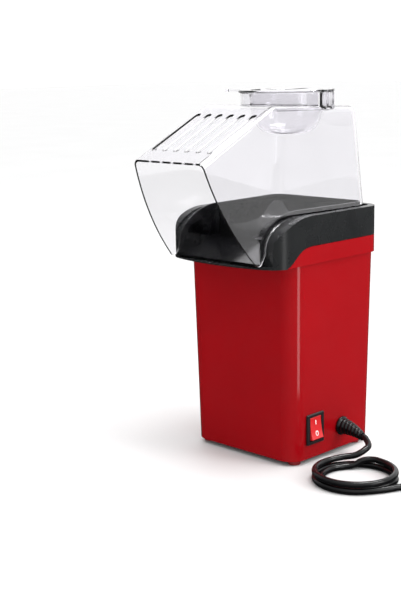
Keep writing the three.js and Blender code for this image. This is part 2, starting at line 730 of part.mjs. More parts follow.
function standoff(angle) {
  const [x, y] = polar(STANDOFF_CIRCLE, angle);
  const bottom = FOOT_TOP + GAP + BASE_THICK + GAP;
  return cylinder(STANDOFF_R, bottom, FAN_FLOOR - GAP, 6, x, AXIS_Y + y);
}

const BRACKET_TOP = FAN_FLOOR - GAP;
const MOTOR_TOP = BRACKET_TOP - 2 - GAP;
const MOTOR_BOTTOM = MOTOR_TOP - MOTOR_LENGTH;

function motorBracket() {
  const arms = CARRIER_ANGLES.map((angle) => {
    const arm = new THREE.BoxGeometry(39, 9, 2).translate(19.5 + 3, 0, BRACKET_TOP - 1);
    return toSolid(arm.rotateZ(((angle + 60) * Math.PI) / 180).translate(0, AXIS_Y, 0));
  });
  const hub = cylinder(MOTOR_R, BRACKET_TOP - 2, BRACKET_TOP, 24, 0, AXIS_Y);
  return cut(joined([hub, ...arms]), [cylinder(5, 0, 100, 16, 0, AXIS_Y)]);
}

function motorCan() {
  const inner = MOTOR_R - 1.2;
  const bore = SHAFT_R + 0.4;
  const profile = [
    [bore, MOTOR_TOP], [bore, MOTOR_TOP - 1.5], [inner, MOTOR_TOP - 1.5], [inner, MOTOR_BOTTOM],
    [MOTOR_R, MOTOR_BOTTOM], [MOTOR_R, MOTOR_TOP], [bore, MOTOR_TOP]];
  return turned(profile, 20, 0, AXIS_Y);
}

function motorEndCap() {
  const disc = ring(
    SHAFT_R + 0.4, MOTOR_R - 1.5, MOTOR_BOTTOM + 0.2, MOTOR_BOTTOM + 3.2, 16, 0, AXIS_Y);
  const tabs = [-8, 8].map((x) => box(
    [x - 1.4, AXIS_Y - 0.4, MOTOR_BOTTOM - 4], [x + 1.4, AXIS_Y + 0.4, MOTOR_BOTTOM + 1]));
  return joined([disc, ...tabs]);
}

function motorArmature() {
  return ring(SHAFT_R + GAP, MOTOR_R - 3, MOTOR_BOTTOM + 6, MOTOR_TOP - 6, 16, 0, AXIS_Y);
}

const DISC_TOP = FAN_FLOOR + 23;

function motorShaft() {
  return cylinder(SHAFT_R, MOTOR_BOTTOM - 0.6, DISC_TOP, 12, 0, AXIS_Y);
}

function fanImpeller() {
  const bore = SHAFT_R + GAP;
  const discBottom = DISC_TOP - 1.5;
  const disc = ring(bore, IMPELLER_R, discBottom, DISC_TOP, ROUND, 0, AXIS_Y);
  const hub = ring(bore, 6, FAN_FLOOR + 5, DISC_TOP, 12, 0, AXIS_Y);
  const blades = [];
  for (let i = 0; i < BLADES; i += 1) {
    const blade = new THREE.BoxGeometry(25, 1.4, 16).rotateZ(-0.45).translate(26, 0, DISC_TOP - 8.5);
    blades.push(toSolid(blade.rotateZ((2 * Math.PI * i) / BLADES).translate(0, AXIS_Y, 0)));
  }
  return joined([disc, hub, ...blades]);
}

function rectifierBoard() {
  const top = MOTOR_BOTTOM - 4 - GAP;
  const board = box([-16, AXIS_Y - 13, top - 1.6], [16, AXIS_Y + 13, top]);
  const diodes = [-9, -3, 3, 9].map((x) => box(
    [x - 1.4, AXIS_Y - 4, top - 4.4], [x + 1.4, AXIS_Y + 4, top - 1.4]));
  return joined([board, ...diodes]);
}

function terminalBlock() {
  const bottom = FOOT_TOP + GAP + BASE_THICK + GAP;
  const block = box([36, 24, bottom], [48, 44, bottom + 10]);
  const screws = [29, 39].map((y) => cylinder(2.4, bottom + 5, bottom + 20, 12, 42, y));
  return cut(block, screws);
}

// ---- Switch -------------------------------------------------------------------------------------

const BEZEL_BACK = bodySideX(SWITCH_Z + BEZEL_H / 2) + GAP;
const BEZEL_FRONT = BEZEL_BACK + BEZEL_THICK;

function switchBox(back, front, width, height, rise = 0) {
  const z = SWITCH_Z + rise;
  return box(
    [back, SWITCH_Y - width / 2, z - height / 2], [front, SWITCH_Y + width / 2, z + height / 2]);
}

function switchBody() {
  const bezel = switchBox(BEZEL_BACK, BEZEL_FRONT, BEZEL_W, BEZEL_H);
  const body = switchBox(BEZEL_BACK - 25, BEZEL_BACK + 1, BEZEL_W - 3.6, BEZEL_H - 3);
  const well = switchBox(BEZEL_BACK - 12, BEZEL_FRONT + 5, ROCKER_W + 0.8, ROCKER_H + 2.2);
  const tabs = [-8, 8].map((z) => switchBox(BEZEL_BACK - 33, BEZEL_BACK - 24, 6.4, 0.8, z));
  return joined([bezel, body, ...tabs]).subtract(well);
}

// The rocker about its own pivot: outwards is +X. It is turned to the ON side when placed.
const PIVOT_X = BEZEL_FRONT - 5.1;

function switchRocker() {
  const end = ROCKER_H / 2;
  const side = [
    [5.3, 0], [6.5, end - 0.5], [6.1, end], [0.5, end - 0.2], [-5.5, 4], [-5.5, -4],
    [0.5, 0.2 - end], [6.1, -end], [6.5, 0.5 - end]];
  const options = { depth: ROCKER_W, bevelEnabled: false };
  const geometry = new THREE.ExtrudeGeometry(outlineShape(side), options);
  geometry.rotateX(Math.PI / 2).translate(0, ROCKER_W / 2, 0);
  return toSolid(geometry);
}

// ---- Strain relief and wires --------------------------------------------------------------------

// The relief's ribbed cone droops a little and turns towards the loops of cord.
const RELIEF_FACE = bodySideX(RELIEF_Z + RELIEF_R) + GAP;
const RELIEF_END = [RELIEF_FACE + 29, RELIEF_Y - 3, RELIEF_Z - 5];

function strainRelief() {
  const inside = RELIEF_FACE - 12;
  const radii = [
    [0, inside], [7.6, inside], [7.6, inside + 4.5], [6, inside + 5.5], [6, RELIEF_FACE],
    [RELIEF_R, RELIEF_FACE], [RELIEF_R, RELIEF_FACE + 2], [8.2, RELIEF_FACE + 3]];
  const ribs = 4;
  for (let i = 0; i < ribs; i += 1) {
    const x = RELIEF_FACE + 5 + i * 5.6;
    const r = 8 - i * 0.9;
    radii.push([r, x], [r, x + 3.4], [r - 1, x + 3.8], [r - 1, x + 5.2]);
  }
  radii.push([CORD_R + 1, RELIEF_FACE + 29], [0, RELIEF_FACE + 29]);
  const straight = turnedAlongX(radii, 0, 0, 12);
  return reshaped(straight, (x, y, z) => {
    const t = Math.max(0, (x - RELIEF_FACE) / 29);
    const bendY = (RELIEF_END[1] - RELIEF_Y) * t * t;
    const bendZ = (RELIEF_END[2] - RELIEF_Z) * t * t;
    return [x, y + RELIEF_Y + bendY, z + RELIEF_Z + bendZ];
  });
}

function innerLead() {
  const start = RELIEF_FACE - 12 - GAP;
  return tube(through([
    [start, RELIEF_Y, RELIEF_Z], [start - 2, RELIEF_Y, RELIEF_Z],
    [start - 8, RELIEF_Y + 1, RELIEF_Z - 4], [44, 15, 18], [42, 20, 15.4], [42, 23, 15]]), 2.6, 8, 12);
}

const WIRES = {
  wire_live: [
    [33, -30, 43], [26, -26, 60], [30, -46, 80], [46, -42, 120], [60, -10, 155], [58.4, 3, 165]],
  wire_neutral: [[42, 45, 14], [44, 50, 40], [50, 44, 70], [51, 34, 90], [47.5, 26, 128]],
  wire_motor: [[15, -6, 31], [22, -14, 28], [30, -25, 26]],
};

function wire(points) {
  return tube(through(points), 1.1, 6, points.length * 2);
}

// ---- Cord, plug and coil ------------------------------------------------------------------------

// The stretch from the strain relief to the loops, and the one from the loops to the stored coil. Each
// point's first number is its distance from the housing's side at the bottom.
const CORD_LEAD = [
  [30.7, 52.5, 22.6], [32.2, 52.4, 22.3], [36.4, 50.6, 20.7], [40.6, 47.6, 19], [43.8, 43.4, 17.7],
  [44.7, 39.2, 17]];
const CORD_TAIL = [
  [109, 1.4, 3.2], [111.6, 6.2, 3.2], [113.7, 12.6, 3.5], [114.8, 20, 4], [115.1, 28.2, 4.2]];

function cordTube(points) {
  const route = points.map(([x, y, z]) => [BODY_HALF_W + x, y, z]);
  return tube(through(route), CORD_R, 8, points.length * 2);
}

// Two turns on the table beside each other, with a turn on top of them.
function cordLoops() {
  const half = CORD_R + 0.4;
  return ring(
    LOOPS_R - half - 6.5, LOOPS_R + half, 0, 4 * CORD_R + 0.8, 32, LOOPS_X, LOOPS_Y);
}

const COIL_HALF = CORD_R + 0.3;
const COIL_HIGH = COIL_LIFT + 4 * CORD_R + 0.6;

function cordCoil() {
  return ring(COIL_R - COIL_HALF, COIL_R + COIL_HALF, COIL_LIFT, COIL_HIGH, 28, COIL_X, COIL_Y);
}

// A strap round the coil's bundle on the side away from the housing.
function cordTie() {
  const reach = COIL_HALF + 3 * GAP;
  const outer = box(
    [COIL_X - 4, COIL_Y + COIL_R - reach - TIE_THICK, 0],
    [COIL_X + 4, COIL_Y + COIL_R + reach + TIE_THICK, COIL_HIGH + GAP + TIE_THICK]);
  const inner = box(
    [COIL_X - 9, COIL_Y + COIL_R - reach, TIE_THICK],
    [COIL_X + 9, COIL_Y + COIL_R + reach, COIL_HIGH + GAP]);
  return outer.subtract(inner);
}

// The cord's end leaves the coil beside the top turn and comes down to the plug's tail.
const CORD_END = [[181.1, 28.4, 9.2], [181.1, 25.4, 8.5], [181.1, 22.7, 7.9]];

// The plug lies on the table beside the coil. It is made along +X with its tail's end at the origin.
const PLUG_AT = [COIL_X + COIL_R, 22, 7.6];
const PLUG_LENGTH = 51;
const PLUG_HALF = 7.2;
const GRIP_START = 21;
const BLADE_HALF = [0.8, 3.2];
const BLADE_REACH = 17;

function plugBody() {
  const outline = [
    [PLUG_LENGTH, -11], [PLUG_LENGTH, 11], [GRIP_START + 8, 12.5], [GRIP_START, 9],
    [GRIP_START, -9], [GRIP_START + 8, -12.5]];
  const tail = turnedAlongX([
    [0, 0], [4.4, 0], [5.4, 11], [PLUG_HALF, GRIP_START], [PLUG_HALF, GRIP_START + 1],
    [0, GRIP_START + 1]], 0, 0, 12);
  return joined([plate(outline, -PLUG_HALF, PLUG_HALF), tail]).subtract(
    joined([-1, 1].map((side) => plugBlade(side, GAP))));
}

function plugBlade(side, room = 0) {
  const y = side * 6.35;
  const [thick, high] = BLADE_HALF.map((half) => half + room);
  return box(
    [PLUG_LENGTH - 6 - room, y - thick, -high], [PLUG_LENGTH + BLADE_REACH, y + thick, high]);
}

// ---- The appliance ------------------------------------------------------------------------------

const appliance = new THREE.Group();
const upright = new THREE.Group();
upright.position.y = ORIGIN_Y;
appliance.add(upright);

function add(group, name, solid, material) {
  const mesh = new THREE.Mesh(toGeometry(solid), material);
  mesh.name = name;
  group.add(mesh);
  return mesh;
}

add(upright, 'housing', housing(), RED);
add(upright, 'base_plate', basePlate(), BLACK);
for (const [i, [x, y]] of FEET.entries()) {
  add(upright, `foot_${i + 1}`, foot(x, y), RED);
  add(upright, `base_screw_${i + 1}`, baseScrew(x, y), STEEL);
}
add(upright, 'upper_frame', upperFrame(), BLACK);
add(upright, 'chute_liner', chuteLiner(), BLACK);
add(upright, 'clear_cover', clearCover(), CLEAR);
add(upright, 'measuring_cup', measuringCup(), CLEAR);
add(upright, 'mouth_seal', mouthSeal(), SILICONE);
add(upright, 'popping_chamber', poppingChamber(), ALUMINIUM);
add(upright, 'chamber_carrier', chamberCarrier(), STEEL);
add(upright, 'heater_shell', heaterShell(), STEEL);
for (const [i, angle] of CARRIER_ANGLES.entries()) {
  add(upright, `carrier_screw_${i + 1}`, carrierScrew(angle), STEEL);
  add(upright, `standoff_${i + 1}`, standoff(angle), STEEL);
}
add(upright, 'mica_cross', micaCross(), MICA);
add(upright, 'heating_coil', heatingCoil(MAIN_COIL), NICHROME);
add(upright, 'dropper_coil', heatingCoil(DROPPER_COIL), NICHROME);
add(upright, 'thermostat', thermostat(), GREY);
add(upright, 'thermal_fuse', thermalFuse(), WIRE);
add(upright, 'fan_housing', fanHousing(), GREY);
add(upright, 'motor_bracket', motorBracket(), STEEL);
add(upright, 'motor_can', motorCan(), STEEL);
add(upright, 'motor_end_cap', motorEndCap(), GREY);
add(upright, 'motor_armature', motorArmature(), BRASS);
add(upright, 'motor_shaft', motorShaft(), STEEL);
add(upright, 'fan_impeller', fanImpeller(), GREY);
add(upright, 'rectifier_board', rectifierBoard(), BOARD);
add(upright, 'terminal_block', terminalBlock(), WIRE);
add(upright, 'switch_body', switchBody(), BLACK);
const rocker = add(upright, 'switch_rocker', switchRocker(), LIT_RED);
rocker.position.set(PIVOT_X, SWITCH_Y, SWITCH_Z);
rocker.rotation.y = (-ROCKER_TILT * Math.PI) / 180;
add(upright, 'strain_relief', strainRelief(), RUBBER);
add(upright, 'inner_lead', innerLead(), RUBBER);
for (const [name, points] of Object.entries(WIRES)) add(upright, name, wire(points), WIRE);

add(appliance, 'cord_lead', cordTube(CORD_LEAD), RUBBER);
add(appliance, 'cord_loops', cordLoops(), RUBBER);
add(appliance, 'cord_tail', cordTube(CORD_TAIL), RUBBER);
add(appliance, 'cord_coil', cordCoil(), RUBBER);
add(appliance, 'cord_tie', cordTie(), BLACK);
add(appliance, 'cord_end', cordTube(CORD_END), RUBBER);
const plug = new THREE.Group();
plug.position.set(...PLUG_AT);
plug.rotation.z = -Math.PI / 2;
appliance.add(plug);
add(plug, 'plug_body', plugBody(), RUBBER);
add(plug, 'plug_blade_1', plugBlade(-1), BRASS);
add(plug, 'plug_blade_2', plugBlade(1), BRASS);

export default appliance;
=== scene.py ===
"""The fine surfaces, finishes, light and camera of a hot-air popcorn maker.

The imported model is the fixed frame, and the pieces here stand in for the nodes that are seen. The
shared frame is in metres with +Z up. The pouring mouth faces -Y, and the switch and the cord are on the
+X side.
Sizes in the classes are in millimetres, and y counts from the middle of the housing towards its back.
"""

import json
import logging
import math
from collections.abc import Callable, Sequence
from dataclasses import dataclass, field
from enum import Enum

import bmesh
import bpy
from mathutils import Matrix, Vector


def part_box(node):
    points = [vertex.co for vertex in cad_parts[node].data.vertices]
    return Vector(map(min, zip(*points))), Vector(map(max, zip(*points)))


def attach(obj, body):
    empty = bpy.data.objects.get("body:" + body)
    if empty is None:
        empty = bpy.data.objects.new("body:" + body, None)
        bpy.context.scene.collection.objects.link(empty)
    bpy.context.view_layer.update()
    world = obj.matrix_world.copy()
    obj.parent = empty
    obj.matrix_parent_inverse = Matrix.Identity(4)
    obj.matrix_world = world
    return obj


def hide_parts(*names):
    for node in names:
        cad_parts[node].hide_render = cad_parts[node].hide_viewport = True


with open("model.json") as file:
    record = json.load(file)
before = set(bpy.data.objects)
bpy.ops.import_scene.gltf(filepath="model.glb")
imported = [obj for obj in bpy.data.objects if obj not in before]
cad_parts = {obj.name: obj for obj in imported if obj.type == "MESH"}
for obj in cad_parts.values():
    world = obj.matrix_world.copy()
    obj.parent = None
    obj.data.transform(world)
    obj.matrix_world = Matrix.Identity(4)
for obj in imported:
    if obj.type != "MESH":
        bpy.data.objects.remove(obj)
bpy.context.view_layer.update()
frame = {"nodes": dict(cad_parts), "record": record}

LOG = logging.getLogger("popcorn_maker")
MM = 0.001
HOUSING_DEPTH = 69.0
MIDDLE_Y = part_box("housing")[1].y / MM - HOUSING_DEPTH
AXIS_Y = sum(corner.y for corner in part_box("popping_chamber")) / 2 / MM - MIDDLE_Y

# Tools reach past every piece that they cut.
PAST_SIDE = 100.0
PAST_FRONT = -210.0
PAST_BACK = 110.0
UNDER_FRAME = 190.0
OVER_FRAME = 300.0

# Corners nearer than this, in metres, are one corner.
WELD = 1e-6
WELD_AFTER_TOOLS = 5e-6

RIGHT = Vector((1, 0, 0))
UP = Vector((0, 0, 1))

Piece = bpy.types.Object
Socket = bpy.types.NodeSocket
Outline = list[tuple[float, float]]
Place = tuple[float, float, float]
Colour = tuple[float, float, float]
Test = Callable[[object], bool]


class Body(Enum):
    """The moving bodies of the appliance."""

    BASE = "base"
    COVER = "cover"
    CUP = "cup"
    ROCKER = "rocker"


class Join(Enum):
    """What a tool does to the piece that it is used on."""

    CUT = "DIFFERENCE"
    ADD = "UNION"
    KEEP_INSIDE = "INTERSECT"


# ---- Modelling helpers ---------------------------------------------------------------------------


def spot(x: float, y: float, z: float) -> Vector:
    """Turns millimetres on the housing's own axes into a place in the shared frame.

    Args:
        x: Distance to the right of the middle plane.
        y: Distance behind the middle of the housing.
        z: Height above the table.

    Returns:
        The place in metres.
    """
    return Vector((x, y + MIDDLE_Y, z)) * MM


def only(piece: Piece) -> None:
    """Selects one object and nothing else."""
    bpy.ops.object.select_all(action="DESELECT")
    piece.select_set(True)
    bpy.context.view_layer.objects.active = piece


def pick(piece: Piece, kind: str, wanted: Test) -> None:
    """Goes into edit mode and selects the corners, edges or faces that a test passes.

    Args:
        piece: The object to edit.
        kind: "VERT", "EDGE" or "FACE".
        wanted: The test, which is given each element.
    """
    only(piece)
    bpy.ops.object.mode_set(mode="EDIT")
    bpy.ops.mesh.select_mode(type=kind)
    bpy.ops.mesh.select_all(action="DESELECT")
    shape = bmesh.from_edit_mesh(piece.data)
    elements = {"VERT": shape.verts, "EDGE": shape.edges, "FACE": shape.faces}[kind]
    for element in elements:
        element.select_set(bool(wanted(element)))
    shape.select_flush_mode()
    bmesh.update_edit_mesh(piece.data)


def leave_edit() -> None:
    """Goes back to object mode."""
    bpy.ops.object.mode_set(mode="OBJECT")


def clean(piece: Piece, distance: float = WELD) -> Piece:
    """Merges doubled corners and turns every face outwards."""
    pick(piece, "VERT", lambda corner: True)
    bpy.ops.mesh.remove_doubles(threshold=distance)
    bpy.ops.mesh.dissolve_degenerate(threshold=distance)
    bpy.ops.mesh.select_all(action="SELECT")
    bpy.ops.mesh.normals_make_consistent(inside=False)
    leave_edit()
    return piece


def outline(name: str, corners: Sequence[Vector], filled: bool = True) -> Piece:
    """Adds a flat ring of corners and moves them to their places.

    Args:
        name: The new object's name.
        corners: Where the corners go, in order.
        filled: Whether the ring gets a face.

    Returns:
        The new object.
    """
    bpy.ops.object.select_all(action="DESELECT")
    fill = "NGON" if filled else "NOTHING"
    bpy.ops.mesh.primitive_circle_add(vertices=len(corners), fill_type=fill)
    piece = bpy.context.object
    piece.name = name
    for corner, place in zip(piece.data.vertices, corners):
        corner.co = place
    return piece


def extruded(
    name: str, corners: Sequence[Vector], push: Vector, grow: tuple[float, float] = (1.0, 1.0)
) -> Piece:
    """Pushes a filled outline into a closed block.

    Args:
        name: The new object's name.
        corners: The outline.
        push: How far the block reaches from it.
        grow: How many times wider and deeper the far end is, about the housing's middle.

    Returns:
        The block.
    """
    piece = outline(name, corners)
    pick(piece, "FACE", lambda face: True)
    bpy.ops.mesh.extrude_region_move(TRANSFORM_OT_translate={"value": push})
    if grow != (1.0, 1.0):
        bpy.ops.transform.resize(value=(*grow, 1.0), center_override=spot(0, 0, 0))
    leave_edit()
    return clean(piece)


def upright(name: str, plan: Outline, bottom: float, top: float) -> Piece:
    """Makes a block from an outline of x and y, between two heights."""
    push = Vector((0, 0, (top - bottom) * MM))
    return extruded(name, [spot(x, y, bottom) for x, y in plan], push)


def sideways(name: str, side: Outline, half: float = PAST_SIDE, middle: float = 0.0) -> Piece:
    """Makes a block from an outline of y and z, reaching half its width each side of its middle."""
    corners = [spot(middle - half, y, z) for y, z in side]
    return extruded(name, corners, Vector((2 * half * MM, 0, 0)))


def block(name: str, low: Sequence[float], high: Sequence[float]) -> Piece:
    """Adds a cube and moves its corners to a box's."""
    bpy.ops.object.select_all(action="DESELECT")
    bpy.ops.mesh.primitive_cube_add(size=2)
    piece = bpy.context.object
    piece.name = name
    for corner in piece.data.vertices:
        corner.co = spot(*(high[i] if corner.co[i] > 0 else low[i] for i in range(3)))
    return piece


def turned(
    name: str, profile: Outline, centre: Vector, axis: Vector, across: Vector, steps: int = 64
) -> Piece:
    """Spins a closed profile about an axis.

    Args:
        name: The new object's name.
        profile: Pairs of a radius and a distance along the axis, in millimetres.
        centre: The axis's start, in metres.
        axis: The axis's direction.
        across: The direction that the radius is drawn in.
        steps: The number of facets round the axis.

    Returns:
        The turned piece.
    """
    corners = [centre + across * (r * MM) + axis * (along * MM) for r, along in profile]
    piece = outline(name, corners, filled=False)
    pick(piece, "VERT", lambda corner: True)
    bpy.ops.mesh.spin(steps=steps, angle=2 * math.pi, center=centre, axis=axis)
    leave_edit()
    return clean(piece, 2e-6)


def lathe(name: str, profile: Outline, x: float, y: float, steps: int = 64) -> Piece:
    """Spins a profile of radius and height about an upright axis through (x, y)."""
    return turned(name, profile, spot(x, y, 0), UP, RIGHT, steps)


def modified(piece: Piece, kind: str, **settings: object) -> Piece:
    """Adds a modifier with its settings, and applies it."""
    only(piece)
    bpy.ops.object.modifier_add(type=kind)
    modifier = piece.modifiers[-1]
    for name, value in settings.items():
        setattr(modifier, name, value)
    bpy.ops.object.modifier_apply(modifier=modifier.name)
    return piece


def joined(piece: Piece, tool: Piece, how: Join) -> Piece:
    """Cuts, adds or keeps the inside of a tool, and removes the tool."""
    modified(piece, "BOOLEAN", operation=how.value, object=tool, solver="EXACT")
    bpy.data.objects.remove(tool)
    return piece


def thickened(piece: Piece, thickness: float) -> Piece:
    """Gives an open shell a wall towards its inside."""
    return modified(piece, "SOLIDIFY", thickness=thickness * MM, offset=-1, use_even_offset=True)


def softened(piece: Piece, width: float, segments: int = 2, degrees: float = 35) -> Piece:
    """Rounds every edge that turns by more than an angle."""
    return modified(
        piece, "BEVEL", width=width * MM, segments=segments, limit_method="ANGLE",
        angle_limit=math.radians(degrees), use_clamp_overlap=True)


def trimmed(piece: Piece, width: float, segments: int = 2, degrees: float = 50) -> Piece:
    """Welds what the tools left, and rounds every edge that turns by more than an angle."""
    return softened(clean(piece, WELD_AFTER_TOOLS), width, segments, degrees)


def rounded_edges(piece: Piece, width: float, segments: int, wanted: Test) -> Piece:
    """Rounds the edges that a test passes."""
    pick(piece, "EDGE", wanted)
    bpy.ops.mesh.bevel(offset=width * MM, segments=segments, affect="EDGES", clamp_overlap=True)
    leave_edit()
    return piece


def without_faces(piece: Piece, wanted: Test) -> Piece:
    """Takes away the faces that a test passes."""
    pick(piece, "FACE", wanted)
    bpy.ops.mesh.delete(type="FACE")
    leave_edit()
    return piece


def merged(name: str, pieces: Sequence[Piece]) -> Piece:
    """Joins objects into one."""
    only(pieces[0])
    for piece in pieces[1:]:
        piece.select_set(True)
    bpy.ops.object.join()
    bpy.context.object.name = name
    return bpy.context.object


def is_sharp(edge: bmesh.types.BMEdge, degrees: float = 30) -> bool:
    """True if the faces beside an edge meet at more than an angle."""
    return len(edge.link_faces) == 2 and edge.calc_face_angle(0.0) > math.radians(degrees)


def height_of(edge: bmesh.types.BMEdge) -> float:
    """An edge's lower end above the table, in millimetres."""
    return min(corner.co.z for corner in edge.verts) / MM


# ---- Outlines ------------------------------------------------------------------------------------


def arc(x: float, y: float, radius: float, start: float, end: float, steps: int = 10) -> Outline:
    """The points of an arc, with its angles in degrees."""
    angles = [math.radians(start + (end - start) * i / steps) for i in range(steps + 1)]
    return [(x + radius * math.cos(a), y + radius * math.sin(a)) for a in angles]


def rounded_rectangle(
    half_x: float, half_y: float, radius: float, x: float = 0.0, y: float = 0.0, steps: int = 10
) -> Outline:
    """A rectangle with round corners about (x, y)."""
    points: Outline = []
    for turn, (sx, sy) in enumerate([(1, 1), (-1, 1), (-1, -1), (1, -1)]):
        middle = (x + sx * (half_x - radius), y + sy * (half_y - radius))
        points += arc(*middle, radius, 90 * turn, 90 * turn + 90, steps)
    return points


def bezier(points: Sequence[tuple[float, float]], steps: int) -> Outline:
    """Points along a quadratic or cubic curve, without its first."""
    order = len(points) - 1
    result: Outline = []
    for i in range(1, steps + 1):
        t = i / steps
        shares = [math.comb(order, k) * t**k * (1 - t) ** (order - k) for k in range(order + 1)]
        result.append(tuple(sum(s * p[axis] for s, p in zip(shares, points)) for axis in (0, 1)))
    return result


@dataclass(frozen=True)
class Band:
    """The plan of the housing's band and of the upper frame: square at the back, bowed in front."""

    half_width: float = 74.0
    back: float = HOUSING_DEPTH
    corner: float = 19.5
    cheek_y: float = -70.0
    nose_half: float = 50.0
    nose_y: float = -94.5
    bow: float = 11.0
    front: float = -75.5
    step: float = 200.6
    top: float = 217.8

    def plan(self, inset: float = 0.0) -> Outline:
        """The outline, moved inwards by an inset."""
        w = self.half_width - inset
        back = self.back - inset
        r = self.corner - inset
        side = self.nose_y + inset
        nose = self.nose_half - inset / 2
        points: Outline = [(w, self.cheek_y)]
        points += arc(w - r, back - r, r, 0, 90, 12)
        points += arc(r - w, back - r, r, 90, 180, 12)
        points += [(-w, self.cheek_y)]
        points += bezier([(-w, self.cheek_y), (1.5 - w, side + 5), (-nose, side)], 12)
        points += bezier([(-nose, side), (0, side - self.bow), (nose, side)], 20)
        points += bezier([(nose, side), (w - 1.5, side + 5), (w, self.cheek_y)], 12)[:-1]
        return points

    def meeting_line(self, rise: float = 0.0, steps: int = 16) -> Outline:
        """The curve where the band meets the upper frame, from the step to the band's top."""
        y, low, high = self.front, self.step + rise, self.top + rise
        ends = [(y, low), (y + 12.5, low + 6.4), (y + 15.5, high), (y + 35.5, high)]
        return [ends[0], *bezier(ends, steps)]


@dataclass(frozen=True)
class Sweep:
    """The line that the rim follows from the lip up to its level top, seen from the side."""

    y: float = -40.0
    z: float = 215.0
    run: float = 50.0
    rise: float = 32.0
    lip: float = 203.0

    def line(self, drop: float = 0.0, steps: int = 24) -> Outline:
        """The quarter of an ellipse, sunk below the rim by a drop."""
        points = arc(0, 0, 1, 180, 90, steps)
        return [(self.y + (self.run - drop) * y, self.z + (self.rise - drop) * z) for y, z in points]

    def above(self, drop: float = 0.0) -> Outline:
        """Everything in front of and above the line, down to the lip."""
        line = self.line(drop)
        top = line[-1][1]
        return [
            (PAST_FRONT, self.lip), (line[0][0], self.lip), *line, (PAST_BACK, top),
            (PAST_BACK, OVER_FRAME), (PAST_FRONT, OVER_FRAME)]


BAND = Band()
SWEEP = Sweep()


# ---- Finishes ------------------------------------------------------------------------------------


class Shader:
    """A material's nodes, added one at a time."""

    def __init__(self, name: str) -> None:
        """Starts a material with an empty surface."""
        self.material = bpy.data.materials.new(name)
        self.material.use_nodes = True
        self.tree = self.material.node_tree
        self.tree.nodes.clear()
        self.output = self.add("ShaderNodeOutputMaterial")
        self.surface = self.add("ShaderNodeBsdfPrincipled")
        self.link(self.surface.outputs[0], self.output.inputs["Surface"])
        self.places = self.add("ShaderNodeTexCoord").outputs["Object"]

    def add(self, kind: str, **values: object) -> bpy.types.Node:
        """Adds a node and sets its properties or its sockets by name."""
        node = self.tree.nodes.new(kind)
        for name, value in values.items():
            if hasattr(node, name):
                setattr(node, name, value)
            else:
                node.inputs[name.replace("_", " ")].default_value = value
        return node

    def link(self, source: Socket, target: Socket) -> None:
        """Joins two sockets."""
        self.tree.links.new(source, target)

    def set(self, **values: object) -> None:
        """Sets the surface's own sockets, with underscores for spaces."""
        for name, value in values.items():
            self.surface.inputs[name.replace("_", " ")].default_value = value

    def noise(self, scale: float, detail: float = 3.0, stretch: Place = (1, 1, 1)) -> Socket:
        """A noise over the object's own coordinates."""
        mapping = self.add("ShaderNodeMapping")
        mapping.inputs["Scale"].default_value = stretch
        self.link(self.places, mapping.inputs["Vector"])
        node = self.add("ShaderNodeTexNoise", Scale=scale, Detail=detail)
        self.link(mapping.outputs[0], node.inputs["Vector"])
        return node.outputs["Fac"]

    def ramp(self, source: Socket, low: Colour, high: Colour) -> None:
        """Colours the surface between two colours by a source."""
        node = self.add("ShaderNodeValToRGB")
        for element, place, colour in zip(node.color_ramp.elements, (0.3, 0.7), (low, high)):
            element.position = place
            element.color = (*colour, 1)
        self.link(source, node.inputs[0])
        self.link(node.outputs[0], self.surface.inputs["Base Color"])

    def spread(self, source: Socket, low: float, high: float) -> None:
        """Varies the surface's roughness between two values by a source."""
        node = self.add("ShaderNodeMapRange")
        node.inputs["From Min"].default_value = 0.3
        node.inputs["From Max"].default_value = 0.7
        node.inputs["To Min"].default_value = low
        node.inputs["To Max"].default_value = high
        self.link(source, node.inputs["Value"])
        self.link(node.outputs[0], self.surface.inputs["Roughness"])

    def bump(self, source: Socket, depth: float, strength: float = 0.5) -> None:
        """Raises the surface by a source."""
        node = self.add("ShaderNodeBump", Strength=strength, Distance=depth)
        self.link(source, node.inputs["Height"])
        self.link(node.outputs[0], self.surface.inputs["Normal"])


def shade(colour: Colour, share: float) -> Colour:
    """A colour made lighter or darker by a share."""
    return tuple(min(1.0, max(0.0, value * (1 + share))) for value in colour)


@dataclass(frozen=True)
class Moulded:
    """A moulded plastic or rubber with a fine grain.

    The grain is counted in ripples to the metre, and its relief is in metres.
    """

    name: str
    colour: Colour
    roughness: float
    grain: float = 2500.0
    relief: float = 0.00003
    mottle: float = 0.06
    coat: float = 0.0
    glow: float = 0.0
    sheen: float = 0.0
    shine: float = 0.5

    def make(self) -> bpy.types.Material:
        """Builds the material."""
        shader = Shader(self.name)
        shader.ramp(shader.noise(18, 2), shade(self.colour, -self.mottle), shade(self.colour, self.mottle))
        shader.spread(shader.noise(45, 4), self.roughness * 0.85, self.roughness * 1.2)
        shader.bump(shader.noise(self.grain, 2), self.relief)
        shader.set(Coat_Weight=self.coat, Coat_Roughness=0.04, Sheen_Weight=self.sheen)
        shader.set(Specular_IOR_Level=self.shine)
        if self.glow:
            shader.set(Emission_Color=(*self.colour, 1), Emission_Strength=self.glow)
        return shader.material


